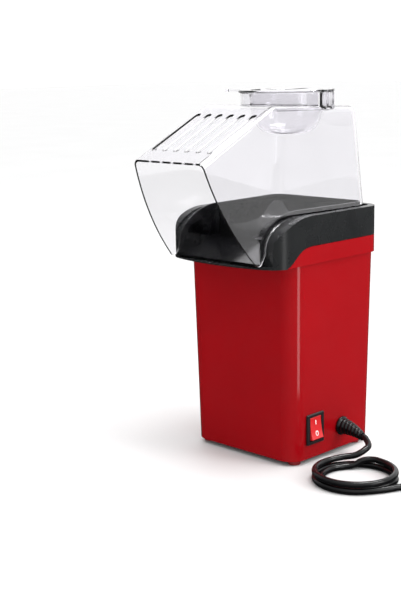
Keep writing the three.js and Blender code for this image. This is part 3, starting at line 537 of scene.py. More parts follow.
@dataclass(frozen=True)
class Clear:
    """Clear moulded plastic with a faint flow in it. Lamps reach what is inside it."""

    name: str
    tint: Colour
    bend: float = 1.49

    def make(self) -> bpy.types.Material:
        """Builds the material."""
        shader = Shader(self.name)
        shader.ramp(shader.noise(14, 2), shade(self.tint, -0.015), shade(self.tint, 0.015))
        shader.spread(shader.noise(60, 3), 0.012, 0.05)
        shader.bump(shader.noise(26, 2), 0.00012, 0.25)
        shader.set(Transmission_Weight=1.0, IOR=self.bend)
        lamp = shader.add("ShaderNodeBsdfTransparent")
        lamp.inputs["Color"].default_value = (*shade(self.tint, -0.02), 1)
        mix = shader.add("ShaderNodeMixShader")
        rays = shader.add("ShaderNodeLightPath")
        shader.link(rays.outputs["Is Shadow Ray"], mix.inputs[0])
        shader.link(shader.surface.outputs[0], mix.inputs[1])
        shader.link(lamp.outputs[0], mix.inputs[2])
        shader.link(mix.outputs[0], shader.output.inputs["Surface"])
        return shader.material


@dataclass(frozen=True)
class Metal:
    """A metal with a brushed or turned grain, stretched along one axis."""

    name: str
    colour: Colour
    roughness: float
    stretch: Place = (1.0, 1.0, 12.0)
    relief: float = 0.00002

    def make(self) -> bpy.types.Material:
        """Builds the material."""
        shader = Shader(self.name)
        shader.ramp(shader.noise(30, 4), shade(self.colour, -0.12), shade(self.colour, 0.06))
        shader.spread(shader.noise(220, 4, self.stretch), self.roughness * 0.75, self.roughness * 1.3)
        shader.bump(shader.noise(600, 3, self.stretch), self.relief)
        shader.set(Metallic=1.0)
        return shader.material


FINISHES = {
    "housing_red": Moulded("housing_red", (0.33, 0.0022, 0.0055), 0.14, 240, 0.00002, 0.03, 0.25),
    "foot_red": Moulded("foot_red", (0.24, 0.008, 0.01), 0.42),
    "black_plastic": Moulded("black_plastic", (0.0125, 0.0135, 0.0142), 0.27, 2600, 0.00003, 0.1, shine=0.35),
    "chute_black": Moulded("chute_black", (0.004, 0.004, 0.0045), 0.12, 300, 0.00002, 0.1),
    "clear_plastic": Clear("clear_plastic", (0.925, 0.918, 0.938)),
    "switch_black": Moulded("switch_black", (0.012, 0.012, 0.013), 0.33, 3000),
    "lit_rocker": Moulded("lit_rocker", (0.6, 0.008, 0.012), 0.3, 900, 0.00002, 0.12, 0.2, 0.16),
    "cord_rubber": Moulded("cord_rubber", (0.0035, 0.0035, 0.004), 0.2, 3200, 0.00003, 0.2, shine=0.28),
    "brass": Metal("brass", (0.72, 0.56, 0.28), 0.24, (12, 1, 1)),
    "aluminium": Metal("aluminium", (0.72, 0.72, 0.73), 0.3, (1, 1, 14)),
    "zinc_steel": Metal("zinc_steel", (0.5, 0.5, 0.51), 0.36),
    "mica": Moulded("mica", (0.5, 0.4, 0.24), 0.5, 400, 0.0001, 0.25),
    "heater_wire": Metal("heater_wire", (0.19, 0.17, 0.16), 0.5, (1, 1, 1)),
    "copper_winding": Metal("copper_winding", (0.55, 0.26, 0.12), 0.35, (1, 1, 30), 0.0001),
    "inner_grey": Moulded("inner_grey", (0.2, 0.21, 0.22), 0.5),
    "seal_silicone": Moulded("seal_silicone", (0.35, 0.05, 0.035), 0.55, 1500),
    "circuit_board": Moulded("circuit_board", (0.02, 0.12, 0.045), 0.4, 1200, 0.00005, 0.3),
    "wire_cover": Moulded("wire_cover", (0.62, 0.62, 0.6), 0.6, 2200, 0.0001, 0.1),
}
MARK_WHITE = Moulded("mark_white", (0.85, 0.82, 0.8), 0.4, 2500, 0.00002, 0.03, 0.0, 0.25)


class Workshop:
    """Dresses finished pieces and puts them on their bodies."""

    def __init__(self) -> None:
        """Builds every finish once."""
        self.materials = {slot: finish.make() for slot, finish in FINISHES.items()}
        self.mark = MARK_WHITE.make()
        self.replaced: set[str] = set()

    def place(
        self,
        piece: Piece,
        slot: str,
        body: Body = Body.BASE,
        replaces: Sequence[str] = (),
        material: bpy.types.Material | None = None,
        angle: float = 35,
    ) -> Piece:
        """Smooths, dresses and rides a piece.

        Args:
            piece: The finished object.
            slot: The record's material slot.
            body: The body that it moves with.
            replaces: The nodes that it stands for.
            material: Its material, where it isn't the slot's.
            angle: Edges that turn by less than this many degrees are smooth.

        Returns:
            The piece.
        """
        if piece.type == "MESH":
            only(piece)
            bpy.ops.object.shade_smooth_by_angle(angle=math.radians(angle))
            modified(piece, "WEIGHTED_NORMAL", keep_sharp=True)
        piece.data.materials.clear()
        piece.data.materials.append(material or self.materials[slot])
        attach(piece, body.value)
        if replaces:
            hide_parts(*replaces)
            self.replaced.update(replaces)
        size = len(piece.data.polygons) if piece.type == "MESH" else 0
        LOG.info("%s on %s with %d faces", piece.name, body.value, size)
        return piece

    def dress_nodes(self) -> None:
        """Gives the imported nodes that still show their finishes."""
        slots = {part["node"]: part["material_slot"] for part in frame["record"]["subparts"]}
        for name, node in frame["nodes"].items():
            if name in self.replaced:
                continue
            node.data.materials.clear()
            node.data.materials.append(self.materials[slots[name]])
            LOG.info("node %s in %s", name, slots[name])


# ---- Sub-assemblies ------------------------------------------------------------------------------


@dataclass
class Housing:
    """The tapered housing with the proud band round its top, and its feet."""

    shop: Workshop
    half_width: float = 67.9
    half_depth: float = 63.05
    corner: float = 17.0
    flare: float = 0.018
    wall: float = 2.5
    bottom: float = 5.0
    feet: tuple[tuple[float, float], ...] = ((58, -50), (-58, -50), (58, 44), (-58, 44))
    foot_radius: float = 6.3

    def build(self) -> None:
        """Makes the shell and the four feet."""
        shell = self.tube()
        band = self.band()
        joined(shell, band, Join.ADD)
        for tool in (self.switch_hole(), self.cord_hole()):
            joined(shell, tool, Join.CUT)
        trimmed(shell, 0.7, 3, 35)
        shell.name = "housing_shell"
        self.shop.place(shell, "housing_red", replaces=["housing"])
        for number, (x, y) in enumerate(self.feet, 1):
            self.foot(number, x, y)

    def tube(self) -> Piece:
        """The tapered wall, open at both ends."""
        plan = rounded_rectangle(self.half_width, self.half_depth, self.corner, steps=12)
        start, end = self.bottom, BAND.step + 1.6
        grow = [
            (half + self.flare * end) / (half + self.flare * start)
            for half in (self.half_width, self.half_depth)
        ]
        widen = self.flare * start
        corners = [spot(x + math.copysign(widen, x), y + math.copysign(widen, y), start) for x, y in plan]
        tube = extruded("housing_tube", corners, Vector((0, 0, (end - start) * MM)), tuple(grow))
        without_faces(tube, lambda face: abs(face.normal.z) > 0.9)
        return thickened(tube, self.wall)

    def band(self) -> Piece:
        """The proud band, which dives under the upper frame at the front."""
        band = upright("housing_band", BAND.plan(), BAND.step, BAND.top)
        inside = upright("band_inside", BAND.plan(self.wall * 2), BAND.step - 1, BAND.top + 1)
        joined(band, inside, Join.CUT)
        return joined(band, sideways("band_front", self.front_line()), Join.CUT)

    def front_line(self) -> Outline:
        """Everything in front of the curve where the band meets the frame."""
        line = BAND.meeting_line()
        ahead = -130
        return [
            (ahead, UNDER_FRAME), (BAND.front, UNDER_FRAME), *line, (line[-1][0], OVER_FRAME),
            (ahead, OVER_FRAME)]

    def switch_hole(self) -> Piece:
        """The switch's opening."""
        return block("switch_hole", (60, -43.2, 20.7), (80, -20.8, 49.3))

    def cord_hole(self) -> Piece:
        """The strain relief's opening."""
        return turned(
            "cord_hole", [(0, -5), (6.3, -5), (6.3, 15), (0, 15)], spot(62, 11, 27.6), RIGHT, UP, 32)

    def foot(self, number: int, x: float, y: float) -> None:
        """One foot, with a recess for its screw."""
        r = self.foot_radius
        profile = [(3.7, 0.3), (4.0, 0), (r - 1.4, 0), (r - 0.5, 0.4), (r, 1.3), (r, 6.5), (2, 6.5), (2, 4),
                   (3.7, 4)]
        foot = lathe(f"rubber_foot_{number}", profile, x, y, 40)
        self.shop.place(foot, "foot_red", replaces=[f"foot_{number}"])


@dataclass
class UpperFrame:
    """The dark frame on the housing, with the rim, the lip and the ledge for the cover."""

    shop: Workshop
    bottom: float = 200.0
    top: float = 247.0
    ledge_half: float = 65.6
    ledge_back: float = 63.4
    ledge_corner: float = 11.1
    ledge_drop: float = 2.0
    gap: float = 0.3

    def build(self) -> None:
        """Makes the frame."""
        body = upright("frame_block", BAND.plan(), self.bottom, self.top)
        joined(body, sideways("rim_cut", SWEEP.above()), Join.CUT)
        clean(body, WELD_AFTER_TOOLS)
        rounded_edges(body, 2.2, 4, lambda edge: is_sharp(edge) and height_of(edge) > SWEEP.lip + 0.6)
        joined(body, self.ledge(), Join.CUT)
        well = Cover.wedge("frame_well", 4.2, SWEEP.lip - 1.5, OVER_FRAME)
        joined(body, well, Join.CUT)
        joined(body, self.under(), Join.CUT)
        trimmed(body, 0.45, 2, 40)
        body.name = "upper_frame_shell"
        self.shop.place(body, "black_plastic", replaces=["upper_frame"])

    def ledge(self) -> Piece:
        """What is cut away above the ledge."""
        w, back, r = self.ledge_half, self.ledge_back, self.ledge_corner
        plan = [(w, -130), *arc(w - r, back - r, r, 0, 90), *arc(r - w, back - r, r, 90, 180), (-w, -130)]
        ledge = upright("ledge_cut", plan, UNDER_FRAME, self.top + 10)
        return joined(ledge, sideways("ledge_line", SWEEP.above(self.ledge_drop)), Join.KEEP_INSIDE)

    def under(self) -> Piece:
        """What is cut away below the curve that the band follows."""
        line = BAND.meeting_line(self.gap)
        front, low, high = BAND.front - self.gap, line[0][1], line[-1][1]
        side = [
            (front, UNDER_FRAME), (front, low), *line, (PAST_BACK, high), (PAST_BACK, UNDER_FRAME)]
        return sideways("frame_under", side)


@dataclass
class Chute:
    """The glossy chute with the funnel round the chamber's mouth."""

    shop: Workshop
    inset: float = 2.4
    wall: float = 1.8
    rise: float = 3.5
    front_z: float = 204.8
    lip_y: float = -85.7
    back_y: float = -34.0
    mouth_z: float = 215.0
    mouth_radius: float = 36.0
    funnel_radius: float = 64.0
    funnel_rise: float = 14.0

    def build(self) -> None:
        """Makes the chute."""
        body = Cover.wedge("chute_block", self.inset, 200, 280)
        joined(body, sideways("chute_rim", SWEEP.above(-self.rise)), Join.CUT)
        ahead = (-PAST_SIDE, PAST_FRONT, UNDER_FRAME), (PAST_SIDE, self.lip_y, SWEEP.lip + 0.3)
        joined(body, block("chute_lip", *ahead), Join.CUT)
        front = SWEEP.line(-self.rise)[0][0]
        floor = [
            (PAST_FRONT, self.front_z), (front, self.front_z), (self.back_y, self.mouth_z),
            (self.back_y, OVER_FRAME), (PAST_FRONT, OVER_FRAME)]
        inside = self.inset + self.wall
        trough = Cover.wedge("trough_walls", inside, UNDER_FRAME, OVER_FRAME)
        joined(body, joined(trough, sideways("trough", floor), Join.KEEP_INSIDE), Join.CUT)
        funnel = lathe("funnel", self.funnel_profile(), 0, AXIS_Y, 72)
        funnel_walls = Cover.wedge("funnel_walls", inside, UNDER_FRAME, OVER_FRAME)
        joined(body, joined(funnel_walls, funnel, Join.KEEP_INSIDE), Join.CUT)
        mouth = lathe("mouth", [(0, 190), (self.mouth_radius, 190), (self.mouth_radius, 290), (0, 290)],
                      0, AXIS_Y, 72)
        joined(body, mouth, Join.CUT)
        trimmed(body, 0.6, 3, 30)
        body.name = "chute"
        self.shop.place(body, "chute_black", replaces=["chute_liner"])

    def funnel_profile(self) -> Outline:
        """The funnel's inside, with a soft curve into the mouth."""
        r, z = self.mouth_radius, self.mouth_z
        top = (self.funnel_radius, z + self.funnel_rise)
        slope = bezier([(r, z), (r + 14, z + 3), top], 8)
        return [(0, z), (r, z), *slope, (top[0] + 40, 300), (0, 300)]


@dataclass
class Cover:
    """The clear cover: a hood that leans in towards its top and pours towards the front.

    Its walls are given by the half width at a place of the foot, how much it widens for each millimetre
    towards the back, and how much the sides and the back lean in for each millimetre of height.
    """

    shop: Workshop
    foot_half: float = 57.4
    foot_place: tuple[float, float] = (-98.0, 206.0)
    back: float = 64.0
    widening: float = 0.055
    side_lean: float = 0.088
    back_lean: float = 0.04
    corner: float = 15.0
    thickness: float = 2.0
    mouth: tuple[float, float] = (-158.0, 303.0)
    bend: tuple[float, float] = (-61.5, 350.0)
    slope: float = 0.041
    tip: Place = (-98.6, 208.8, 5.0)
    foot_drop: float = 1.7
    slots: int = 6
    slot_pitch: float = 14.6
    slot_width: float = 6.4
    slot_ends: tuple[float, float] = (-141.0, -78.0)
    neck_radius: float = 46.0
    neck_top: float = 360.0
    roof_round: float = 6.0

    @staticmethod
    def half(y: float, z: float) -> float:
        """The hood's half width at a place."""
        foot_y, foot_z = Cover.foot_place
        return Cover.foot_half + Cover.widening * (y - foot_y) - Cover.side_lean * (z - foot_z)

    @staticmethod
    def wedge(name: str, inset: float, bottom: float, top: float) -> Piece:
        """A block with the hood's leaning sides and round back corners, moved inwards by an inset."""
        piece = block(name, (-1, -200, bottom), (1, Cover.back - inset, top))
        for corner in piece.data.vertices:
            side = math.copysign(1, corner.co.x)
            y, z = corner.co.y / MM - MIDDLE_Y, corner.co.z / MM
            if y > 0:
                y -= Cover.back_lean * (z - Cover.foot_place[1])
            corner.co = spot(side * (Cover.half(y, z) - inset), y, z)
        middle = spot(0, 0, 0).y
        return rounded_edges(
            piece, Cover.corner - inset, 8,
            lambda edge: all(v.co.y > middle for v in edge.verts)
            and abs(edge.verts[0].co.z - edge.verts[1].co.z) > 0.02)

    def build(self) -> None:
        """Makes the hood with its slots, neck and lug."""
        hood = self.shell()
        joined(hood, sideways("hood_side", self.side()), Join.KEEP_INSIDE)
        for number in range(self.slots):
            x = (number - (self.slots - 1) / 2) * self.slot_pitch
            joined(hood, self.slot_tool(x), Join.CUT)
        joined(hood, self.neck(), Join.ADD)
        r = self.neck_radius - self.thickness
        joined(hood, lathe("neck_bore", [(0, 330), (r, 330), (r, 380), (0, 380)], 0, AXIS_Y, 96), Join.CUT)
        trimmed(hood, 0.35)
        hood.name = "clear_hood"
        self.shop.place(hood, "clear_plastic", Body.COVER, ["clear_cover"])

    def shell(self) -> Piece:
        """The hood's wall before it is trimmed at its foot and its mouth."""
        body = self.wedge("hood_shell", 0, UNDER_FRAME, 400)
        for normal in (Vector((0, self.slope, 1)), Vector((0, -self.pitch(), 1))):
            pick(body, "VERT", lambda corner: True)
            bpy.ops.mesh.bisect(
                plane_co=spot(0, *self.bend), plane_no=normal, use_fill=True, clear_outer=True)
            leave_edit()
        rounded_edges(clean(body), self.roof_round, 5, self.on_roof)
        front = spot(0, -198, 0).y
        without_faces(
            body, lambda face: face.normal.z < -0.9 or all(v.co.y < front for v in face.verts))
        return thickened(body, self.thickness)

    def pitch(self) -> float:
        """The front roof's rise for each millimetre towards the back."""
        return (self.bend[1] - self.mouth[1]) / (self.bend[0] - self.mouth[0])

    def on_roof(self, edge: bmesh.types.BMEdge) -> bool:
        """True for the roof's sharp edges, except the one at the open front."""
        for corner in edge.verts:
            behind = corner.co.y / MM - MIDDLE_Y - self.bend[0]
            roof = self.bend[1] + min(-self.slope * behind, self.pitch() * behind)
            if abs(corner.co.z / MM - roof) > 0.05:
                return False
        return is_sharp(edge, 12) and max(v.co.y for v in edge.verts) > spot(0, -195, 0).y

    def side(self) -> Outline:
        """The hood from the side: the mouth's edge, the tip, the foot along the rim and far above."""
        y, z = self.mouth
        tip_y, tip_z, tip_r = self.tip
        edge = bezier([(y, z), (y + 17, z - 54), (tip_y - 4.6, tip_z - 1.9)], 20)
        tip = arc(tip_y, tip_z, tip_r, 205, 338, 10)
        foot = SWEEP.line(self.foot_drop)
        heel = (foot[0][0] - 1.6, foot[0][1] - 3)
        return [(y, 420), (y, z), *edge, *tip, heel, *foot, (PAST_BACK, foot[-1][1]), (PAST_BACK, 420)]

    def slot_tool(self, x: float) -> Piece:
        """One long slot with round ends."""
        front, back = self.slot_ends
        half = (back - front) / 2
        plan = rounded_rectangle(
            self.slot_width / 2, half, self.slot_width / 2 - 0.05, x, front + half, 5)
        return upright("slot", plan, 290, 380)

    def neck(self) -> Piece:
        """The round neck and the lug that holds the cup's tab."""
        low = self.bend[1] - self.slope * (AXIS_Y + self.neck_radius - self.bend[0]) - self.thickness
        r = self.neck_radius
        inner = r - self.thickness
        top = self.neck_top
        profile = [(inner, low), (r, low), (r, top - 0.5), (r - 0.5, top), (inner, top)]
        neck = lathe("neck", profile, 0, AXIS_Y, 96)
        lug = block("lug", (r - 1, AXIS_Y - 6, low + 1), (r + 10, AXIS_Y + 6, top))
        gap = block("lug_gap", (r + 3, AXIS_Y - 2.6, low + 4), (r + 20, AXIS_Y + 2.6, top + 1))
        return joined(neck, joined(lug, gap, Join.CUT), Join.ADD)


@dataclass
class MeasuringCup:
    """The clear cup that closes the neck: a bowl, a flange, a long handle and a short tab."""

    shop: Workshop
    flange_radius: float = 48.0
    radius: float = 37.0
    bottom: float = 318.0
    flange_low: float = 360.3
    flange: float = 2.4
    wall: float = 1.6
    reach: float = 78.0
    handle_width: float = 20.0

    def bowl(self, inset: float) -> Outline:
        """The bowl's line from its middle up to the flange."""
        depth = self.flange_low - self.bottom - inset
        points: Outline = []
        for step in range(17):
            angle = math.radians(90 * step / 16)
            rise = (1 - math.cos(angle)) ** 1.5
            across = math.sin(angle) ** 0.75
            points.append(((self.radius - inset) * across, self.bottom + inset + depth * rise))
        return points

    def build(self) -> None:
        """Makes the cup."""
        low, top, wall = self.flange_low, self.flange_low + self.flange, self.wall
        r = self.flange_radius
        rim = [(r - 0.6, low), (r, low + 0.6), (r, top - 0.6), (r - 0.6, top), (self.radius, top)]
        profile = [*self.bowl(0), *rim, *reversed(self.bowl(wall))]
        cup = lathe("measuring_cup_shell", profile, 0, AXIS_Y, 96)
        for arm in (self.arm(-self.reach, -r + 4, self.handle_width / 2, 7),
                    self.arm(r - 7, r + 9, 5, 2)):
            joined(cup, arm, Join.ADD)
        trimmed(cup, 0.3)
        self.shop.place(cup, "clear_plastic", Body.CUP, ["measuring_cup"])

    def arm(self, left: float, right: float, half: float, corner: float) -> Piece:
        """A flat arm of the flange, from one x to another."""
        plan = rounded_rectangle(
            (right - left) / 2, half, corner, (left + right) / 2, AXIS_Y, 8)
        return upright("cup_arm", plan, self.flange_low, self.flange_low + self.flange)


@dataclass
class Switch:
    """The rocker switch: bezel, body and a lit rocker that is pressed at its top."""

    shop: Workshop
    y: float = -32.0
    z: float = 35.0
    width: float = 25.5
    height: float = 31.0
    front: float = field(default_factory=lambda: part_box("switch_body")[1].x / MM)
    thickness: float = 2.0
    rocker_width: float = 16.6
    rocker_height: float = 22.6
    tilt: float = -9.0

    def build(self) -> None:
        """Makes the bezel with its body, the rocker and its marks."""
        self.bezel()
        self.rocker()
        self.marks()

    def slab(self, name: str, back: float, front: float, width: float, height: float) -> Piece:
        """A block about the switch's middle, from one x to another."""
        low = (back, self.y - width / 2, self.z - height / 2)
        return block(name, low, (front, self.y + width / 2, self.z + height / 2))

    def bezel(self) -> None:
        """The bezel on the wall, the body behind it and the well for the rocker."""
        back = self.front - self.thickness
        plan = rounded_rectangle(self.width / 2, self.height / 2, 1.4, self.y, self.z, 4)
        corners = [spot(back, y, z) for y, z in plan]
        bezel = extruded("switch_bezel", corners, Vector((self.thickness * MM, 0, 0)))
        rounded_edges(bezel, 0.9, 3, lambda edge: all(
            v.co.x > (self.front - 0.1) * MM for v in edge.verts))
        joined(bezel, self.slab("switch_back", back - 25, back + 1, 21.9, 28), Join.ADD)
        room = self.rocker_width + 0.8, self.rocker_height + 2.2
        joined(bezel, self.slab("switch_well", back - 12, self.front + 5, *room), Join.CUT)
        trimmed(bezel, 0.25)
        self.shop.place(bezel, "switch_black", replaces=["switch_body"])

    def turned_point(self, out: float, up: float) -> tuple[float, float]:
        """A point of the rocker's side, turned about its pivot to where it rests."""
        angle = math.radians(self.tilt)
        x = out * math.cos(angle) + up * math.sin(angle)
        return self.front - 5.1 + x, self.z + up * math.cos(angle) - out * math.sin(angle)

    def rocker(self) -> None:
        """The rocker: two slightly hollow faces with a ridge between them."""
        end = self.rocker_height / 2
        upper = bezier([(5.5, 0.0), (5.2, end * 0.55), (6.45, end - 0.5)], 8)
        face = [(out, -up) for out, up in reversed(upper)] + [(5.5, 0.0)] + upper
        heel = [(6.1, end), (0.5, end - 0.2), (-5.5, 4), (-5.5, -4), (0.5, 0.2 - end), (6.1, -end)]
        side = [self.turned_point(*point) for point in face + heel]
        corners = [spot(x, self.y - self.rocker_width / 2, z) for x, z in side]
        rocker = extruded("lit_rocker", corners, Vector((0, self.rocker_width * MM, 0)))
        softened(rocker, 0.45, 3, 40)
        self.shop.place(rocker, "lit_rocker", Body.ROCKER, ["switch_rocker"])

    def marks(self) -> None:
        """The stroke for on and the ring for off."""
        stroke = rounded_rectangle(0.5, 2.3, 0.45, 0, 5.6, 3)
        inside = rounded_rectangle(1.25, 1.75, 1.2, 0, -5.4, 6)
        ring = rounded_rectangle(2.0, 2.5, 1.95, 0, -5.4, 6)
        on = self.mark("mark_on", stroke)
        off = joined(self.mark("mark_off", ring), self.mark("mark_hole", inside, 0.6), Join.CUT)
        marks = merged("rocker_marks", [on, off])
        self.shop.place(marks, "lit_rocker", Body.ROCKER, material=self.shop.mark)

    def mark(self, name: str, shape: Outline, extra: float = 0.0) -> Piece:
        """A raised mark on the rocker's face, from points across and up it."""
        corners = []
        for across, up in shape:
            out = 5.5 + 0.0088 * up * up - 0.04 * abs(up) - 0.35 - extra
            x, z = self.turned_point(out, up)
            corners.append(spot(x, self.y - across, z))
        return extruded(name, corners, Vector(((0.55 + 2 * extra) * MM, 0, 0)))


@dataclass
class StrainRelief:
    """The ribbed boot that the cord leaves through. It droops and turns towards the loops."""

    shop: Workshop
    y: float = 11.0
    z: float = 27.6
    length: float = 29.0
    ribs: int = 6
    droop: tuple[float, float] = (-3.0, -5.0)

    def profile(self) -> Outline:
        """The boot's radius along its length, with its inner end first."""
        points = [(0, -12), (7.2, -12), (7.6, -11.6), (7.6, -7.5), (6, -6.5), (6, 0), (9.0, 0), (9.5, 0.5),
                  (9.5, 1.8), (9.1, 2.3), (8.3, 3)]
        pitch = (self.length - 5) / self.ribs
        for rib in range(self.ribs):
            at = 3.9 + rib * pitch
            r = 8.1 - rib * 0.62
            points += [(r - 1.0, at), (r - 0.25, at + 0.35), (r, at + 0.8), (r - 0.1, at + pitch - 1.7),
                       (r - 0.45, at + pitch - 1.2), (r - 1.15, at + pitch - 0.8)]
        return [*points, (4.3, self.length - 0.5), (4.0, self.length), (0, self.length)]

    def build(self) -> Piece:
        """Makes the boot.

        Returns:
            The boot.
        """
        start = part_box("strain_relief")[0].x / MM + 12
        boot = turned(
            "cord_boot", self.profile(), spot(start, 0, 0), RIGHT, UP, 48)
        for corner in boot.data.vertices:
            t = max(0.0, (corner.co.x / MM - start) / self.length)
            corner.co.y += (self.y + self.droop[0] * t * t) * MM
            corner.co.z += (self.z + self.droop[1] * t * t) * MM
        return self.shop.place(boot, "cord_rubber", replaces=["strain_relief"], angle=50)


def eased(value: float, start: float, end: float) -> float:
    """0 before a start and 1 after an end, with a smooth step between them."""
    t = min(1.0, max(0.0, (value - start) / (end - start)))
    return t * t * (3 - 2 * t)


@dataclass
class Cord:
    """The mains cord: loops beside the housing, then a stored coil with the plug beside it.

    The points are millimetres in the shared frame. The pairs of angles are degrees along the turns,
    between which a height or a reach changes.
    """

    shop: Workshop
    boot: Piece
    radius: float = 3.1
    loops: Place = (131.3, -3.3, 37.8)
    coil: Place = (216.0, 50.0, 33.0)
    spacing: float = 6.5
    floor: float = 3.2
    coil_floor: float = 4.3
    coil_rise: float = 6.3
    lead_settles: tuple[int, int] = (130, 175)
    top_turn_drops: tuple[int, int] = (458, 498)
    turn_widens: tuple[int, int] = (700, 750)
    coil_climbs: tuple[int, int] = (75, 130)
    lead: tuple[Place, ...] = (
        (98.4, 52.5, 22.7), (100.1, 52.4, 22.3), (104.3, 50.6, 20.7), (108.5, 47.6, 19.0),
        (111.7, 43.4, 17.7), (112.6, 38.2, 16.6), (111.4, 32.6, 14.4), (108.2, 27.4, 12.2))
    tail: tuple[Place, ...] = (
        (162.0, -25.2, 3.2), (166.4, -18.9, 3.2), (170.2, -12.6, 3.2), (173.6, -6.0, 3.2),
        (176.8, 1.2, 3.2), (179.4, 6.2, 3.2), (181.5, 12.6, 3.5), (182.6, 20.0, 4.0),
        (183.0, 28.2, 4.2),
        (183.0, 38.0, 4.3))
    end: tuple[Place, ...] = (
        (249.0, 44.0, 10.6), (249.0, 38.0, 10.5), (249.0, 33.0, 10.1), (249.0, 28.4, 9.2),
        (249.0, 25.4, 8.5), (249.0, 22.7, 7.9), (249.0, 20.5, 7.6))

    def route(self) -> list[Vector]:
        """Every point of the cord's line, from the boot to the plug."""
        return [Vector(p) * MM for p in (*self.lead, *self.turns(), *self.tail, *self.wound(), *self.end)]

    def turns(self) -> list[Place]:
        """A turn on top, which drops inside a turn that lies on the table, and the outer turn's start."""
        x, y, r = self.loops
        points = []
        for angle in range(145, 1031, 15):
            drop = math.radians(90 + 90 * eased(angle, *self.top_turn_drops))
            outwards = eased(angle, *self.turn_widens)
            reach = r + self.spacing * math.cos(drop) * (1 - outwards)
            lifted = 1.4 * (1 - eased(angle, *self.lead_settles))
            height = self.floor + self.spacing * math.sin(drop) + lifted
            a = math.radians(angle)
            points.append((x + reach * math.cos(a), y + reach * math.sin(a), height))
        return points

    def wound(self) -> list[Place]:
        """The stored coil's turns, wound clockwise from its left side."""
        x, y, r = self.coil
        points = []
        for angle in range(180, -361, -15):
            height = self.coil_floor + self.coil_rise * eased(-angle, *self.coil_climbs)
            a = math.radians(angle)
            points.append((x + r * math.cos(a), y + r * math.sin(a), height))
        return points

    def build(self) -> None:
        route = self.route()
        bpy.ops.object.select_all(action="DESELECT")
        bpy.ops.curve.primitive_bezier_curve_add()
        cord = bpy.context.object
        cord.name = "mains_cord"
        cord.location = (0, 0, 0)
        curve = cord.data
        curve.splines.clear()
        spline = curve.splines.new("BEZIER")
        spline.bezier_points.add(len(route) - 1)
        for point, place in zip(spline.bezier_points, route):
            point.co = place
            point.handle_left_type = point.handle_right_type = "AUTO"
        curve.dimensions = "3D"
        curve.resolution_u = 6
        curve.bevel_depth = self.radius * MM
        curve.bevel_resolution = 5
        curve.use_fill_caps = True
        replaces = ["cord_lead", "cord_loops", "cord_tail", "cord_coil", "cord_end"]
        self.shop.place(cord, "cord_rubber", replaces=replaces)
        plug, blades = Plug(self.shop).build()
        tie = self.tie()

    def tie(self) -> Piece:
        """The strap round the coil's bundle, at the back of the coil."""
        low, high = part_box("cord_tie")
        x = (low.x + high.x) / 2 / MM
        middle = ((low.y + high.y) / 2 / MM - MIDDLE_Y, (low.z + high.z) / 2 / MM)
        half = ((high.y - low.y) / 2 / MM, (high.z - low.z) / 2 / MM)
        strap = sideways("cord_strap", rounded_rectangle(*half, 3.2, *middle, 6), 4, x)
        hole = rounded_rectangle(half[0] - 0.8, half[1] - 0.8, 2.6, *middle, 6)
        joined(strap, sideways("strap_hole", hole, 9, x), Join.CUT)
        trimmed(strap, 0.2, 2, 40)
        return self.shop.place(strap, "black_plastic", replaces=["cord_tie"])


@dataclass
class Plug:
    """The flat plug beside the coil, with its grip's ribs and two blades."""

    shop: Workshop
    half_height: float = 7.2
    half_width: float = 12.5

    def build(self) -> tuple[Piece, Piece]:
        """Makes the plug and its blades.

        Returns:
            The plug's body and its blades.
        """
        low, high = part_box("plug_body")
        x, z = (low.x + high.x) / 2 / MM, (low.z + high.z) / 2 / MM
        start, face = high.y / MM - MIDDLE_Y, low.y / MM - MIDDLE_Y
        half = self.half_width
        grip = [(x - 11, face), (x - half, face + 4), (x - half, face + 22), (x - 8.5, face + 30),
                (x + 8.5, face + 30), (x + half, face + 22), (x + half, face + 4), (x + 11, face)]
        body = upright("plug_shell", grip, z - self.half_height, z + self.half_height)
        softened(body, 2.4, 4, 25)
        tail = turned(
            "plug_tail", self.tail_profile(), spot(x, start, z), Vector((0, -1, 0)), UP, 40)
        joined(body, tail, Join.ADD)
        for side in (-1, 1):
            for number in range(5):
                y = face + 6 + number * 3.2
                low, high = (x + side * (half - 0.7), y, z - 5), (x + side * (half + 2), y + 1.2, z + 5)
                joined(body, clean(block("grip_groove", low, high)), Join.CUT)
        trimmed(body, 0.25)
        self.shop.place(body, "cord_rubber", replaces=["plug_body"])
        blades = merged("plug_blades", [self.blade(number) for number in (1, 2)])
        self.shop.place(blades, "brass", replaces=["plug_blade_1", "plug_blade_2"])
        return body, blades

    def tail_profile(self) -> Outline:
        """The plug's own ribbed tail, from the cord's end."""
        points = [(0, 0.2), (3.9, 0.2), (4.3, 0.6)]
        for rib in range(4):
            at = 1.6 + rib * 4.4
            r = 4.5 + rib * 0.55
            points += [(r - 0.5, at), (r, at + 0.5), (r + 0.1, at + 2.9), (r - 0.4, at + 3.4)]
        return [*points, (6.9, 21.5), (6.9, 24), (0, 24)]

    def blade(self, number: int) -> Piece:
        """One blade with a chamfered end and its locking hole."""
        low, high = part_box(f"plug_blade_{number}")
        tip, root = low.y / MM - MIDDLE_Y, high.y / MM - MIDDLE_Y
        middle = (low.z + high.z) / 2 / MM
        half = (high.z - low.z) / 2 / MM
        side = [(root, middle - half), (root, middle + half), (tip + 1.6, middle + half),
                (tip, middle + half - 1.4), (tip, middle - half + 1.4), (tip + 1.6, middle - half)]
        x = (low.x + high.x) / 2 / MM
        blade = sideways(f"blade_{number}", side, (high.x - low.x) / 2 / MM, x)
        hole = sideways("blade_hole", arc(tip + 4, middle, 1.5, 0, 345, 23), 3, x)
        return softened(clean(joined(blade, hole, Join.CUT)), 0.15, 2, 40)


# ---- Light, floor and camera ---------------------------------------------------------------------


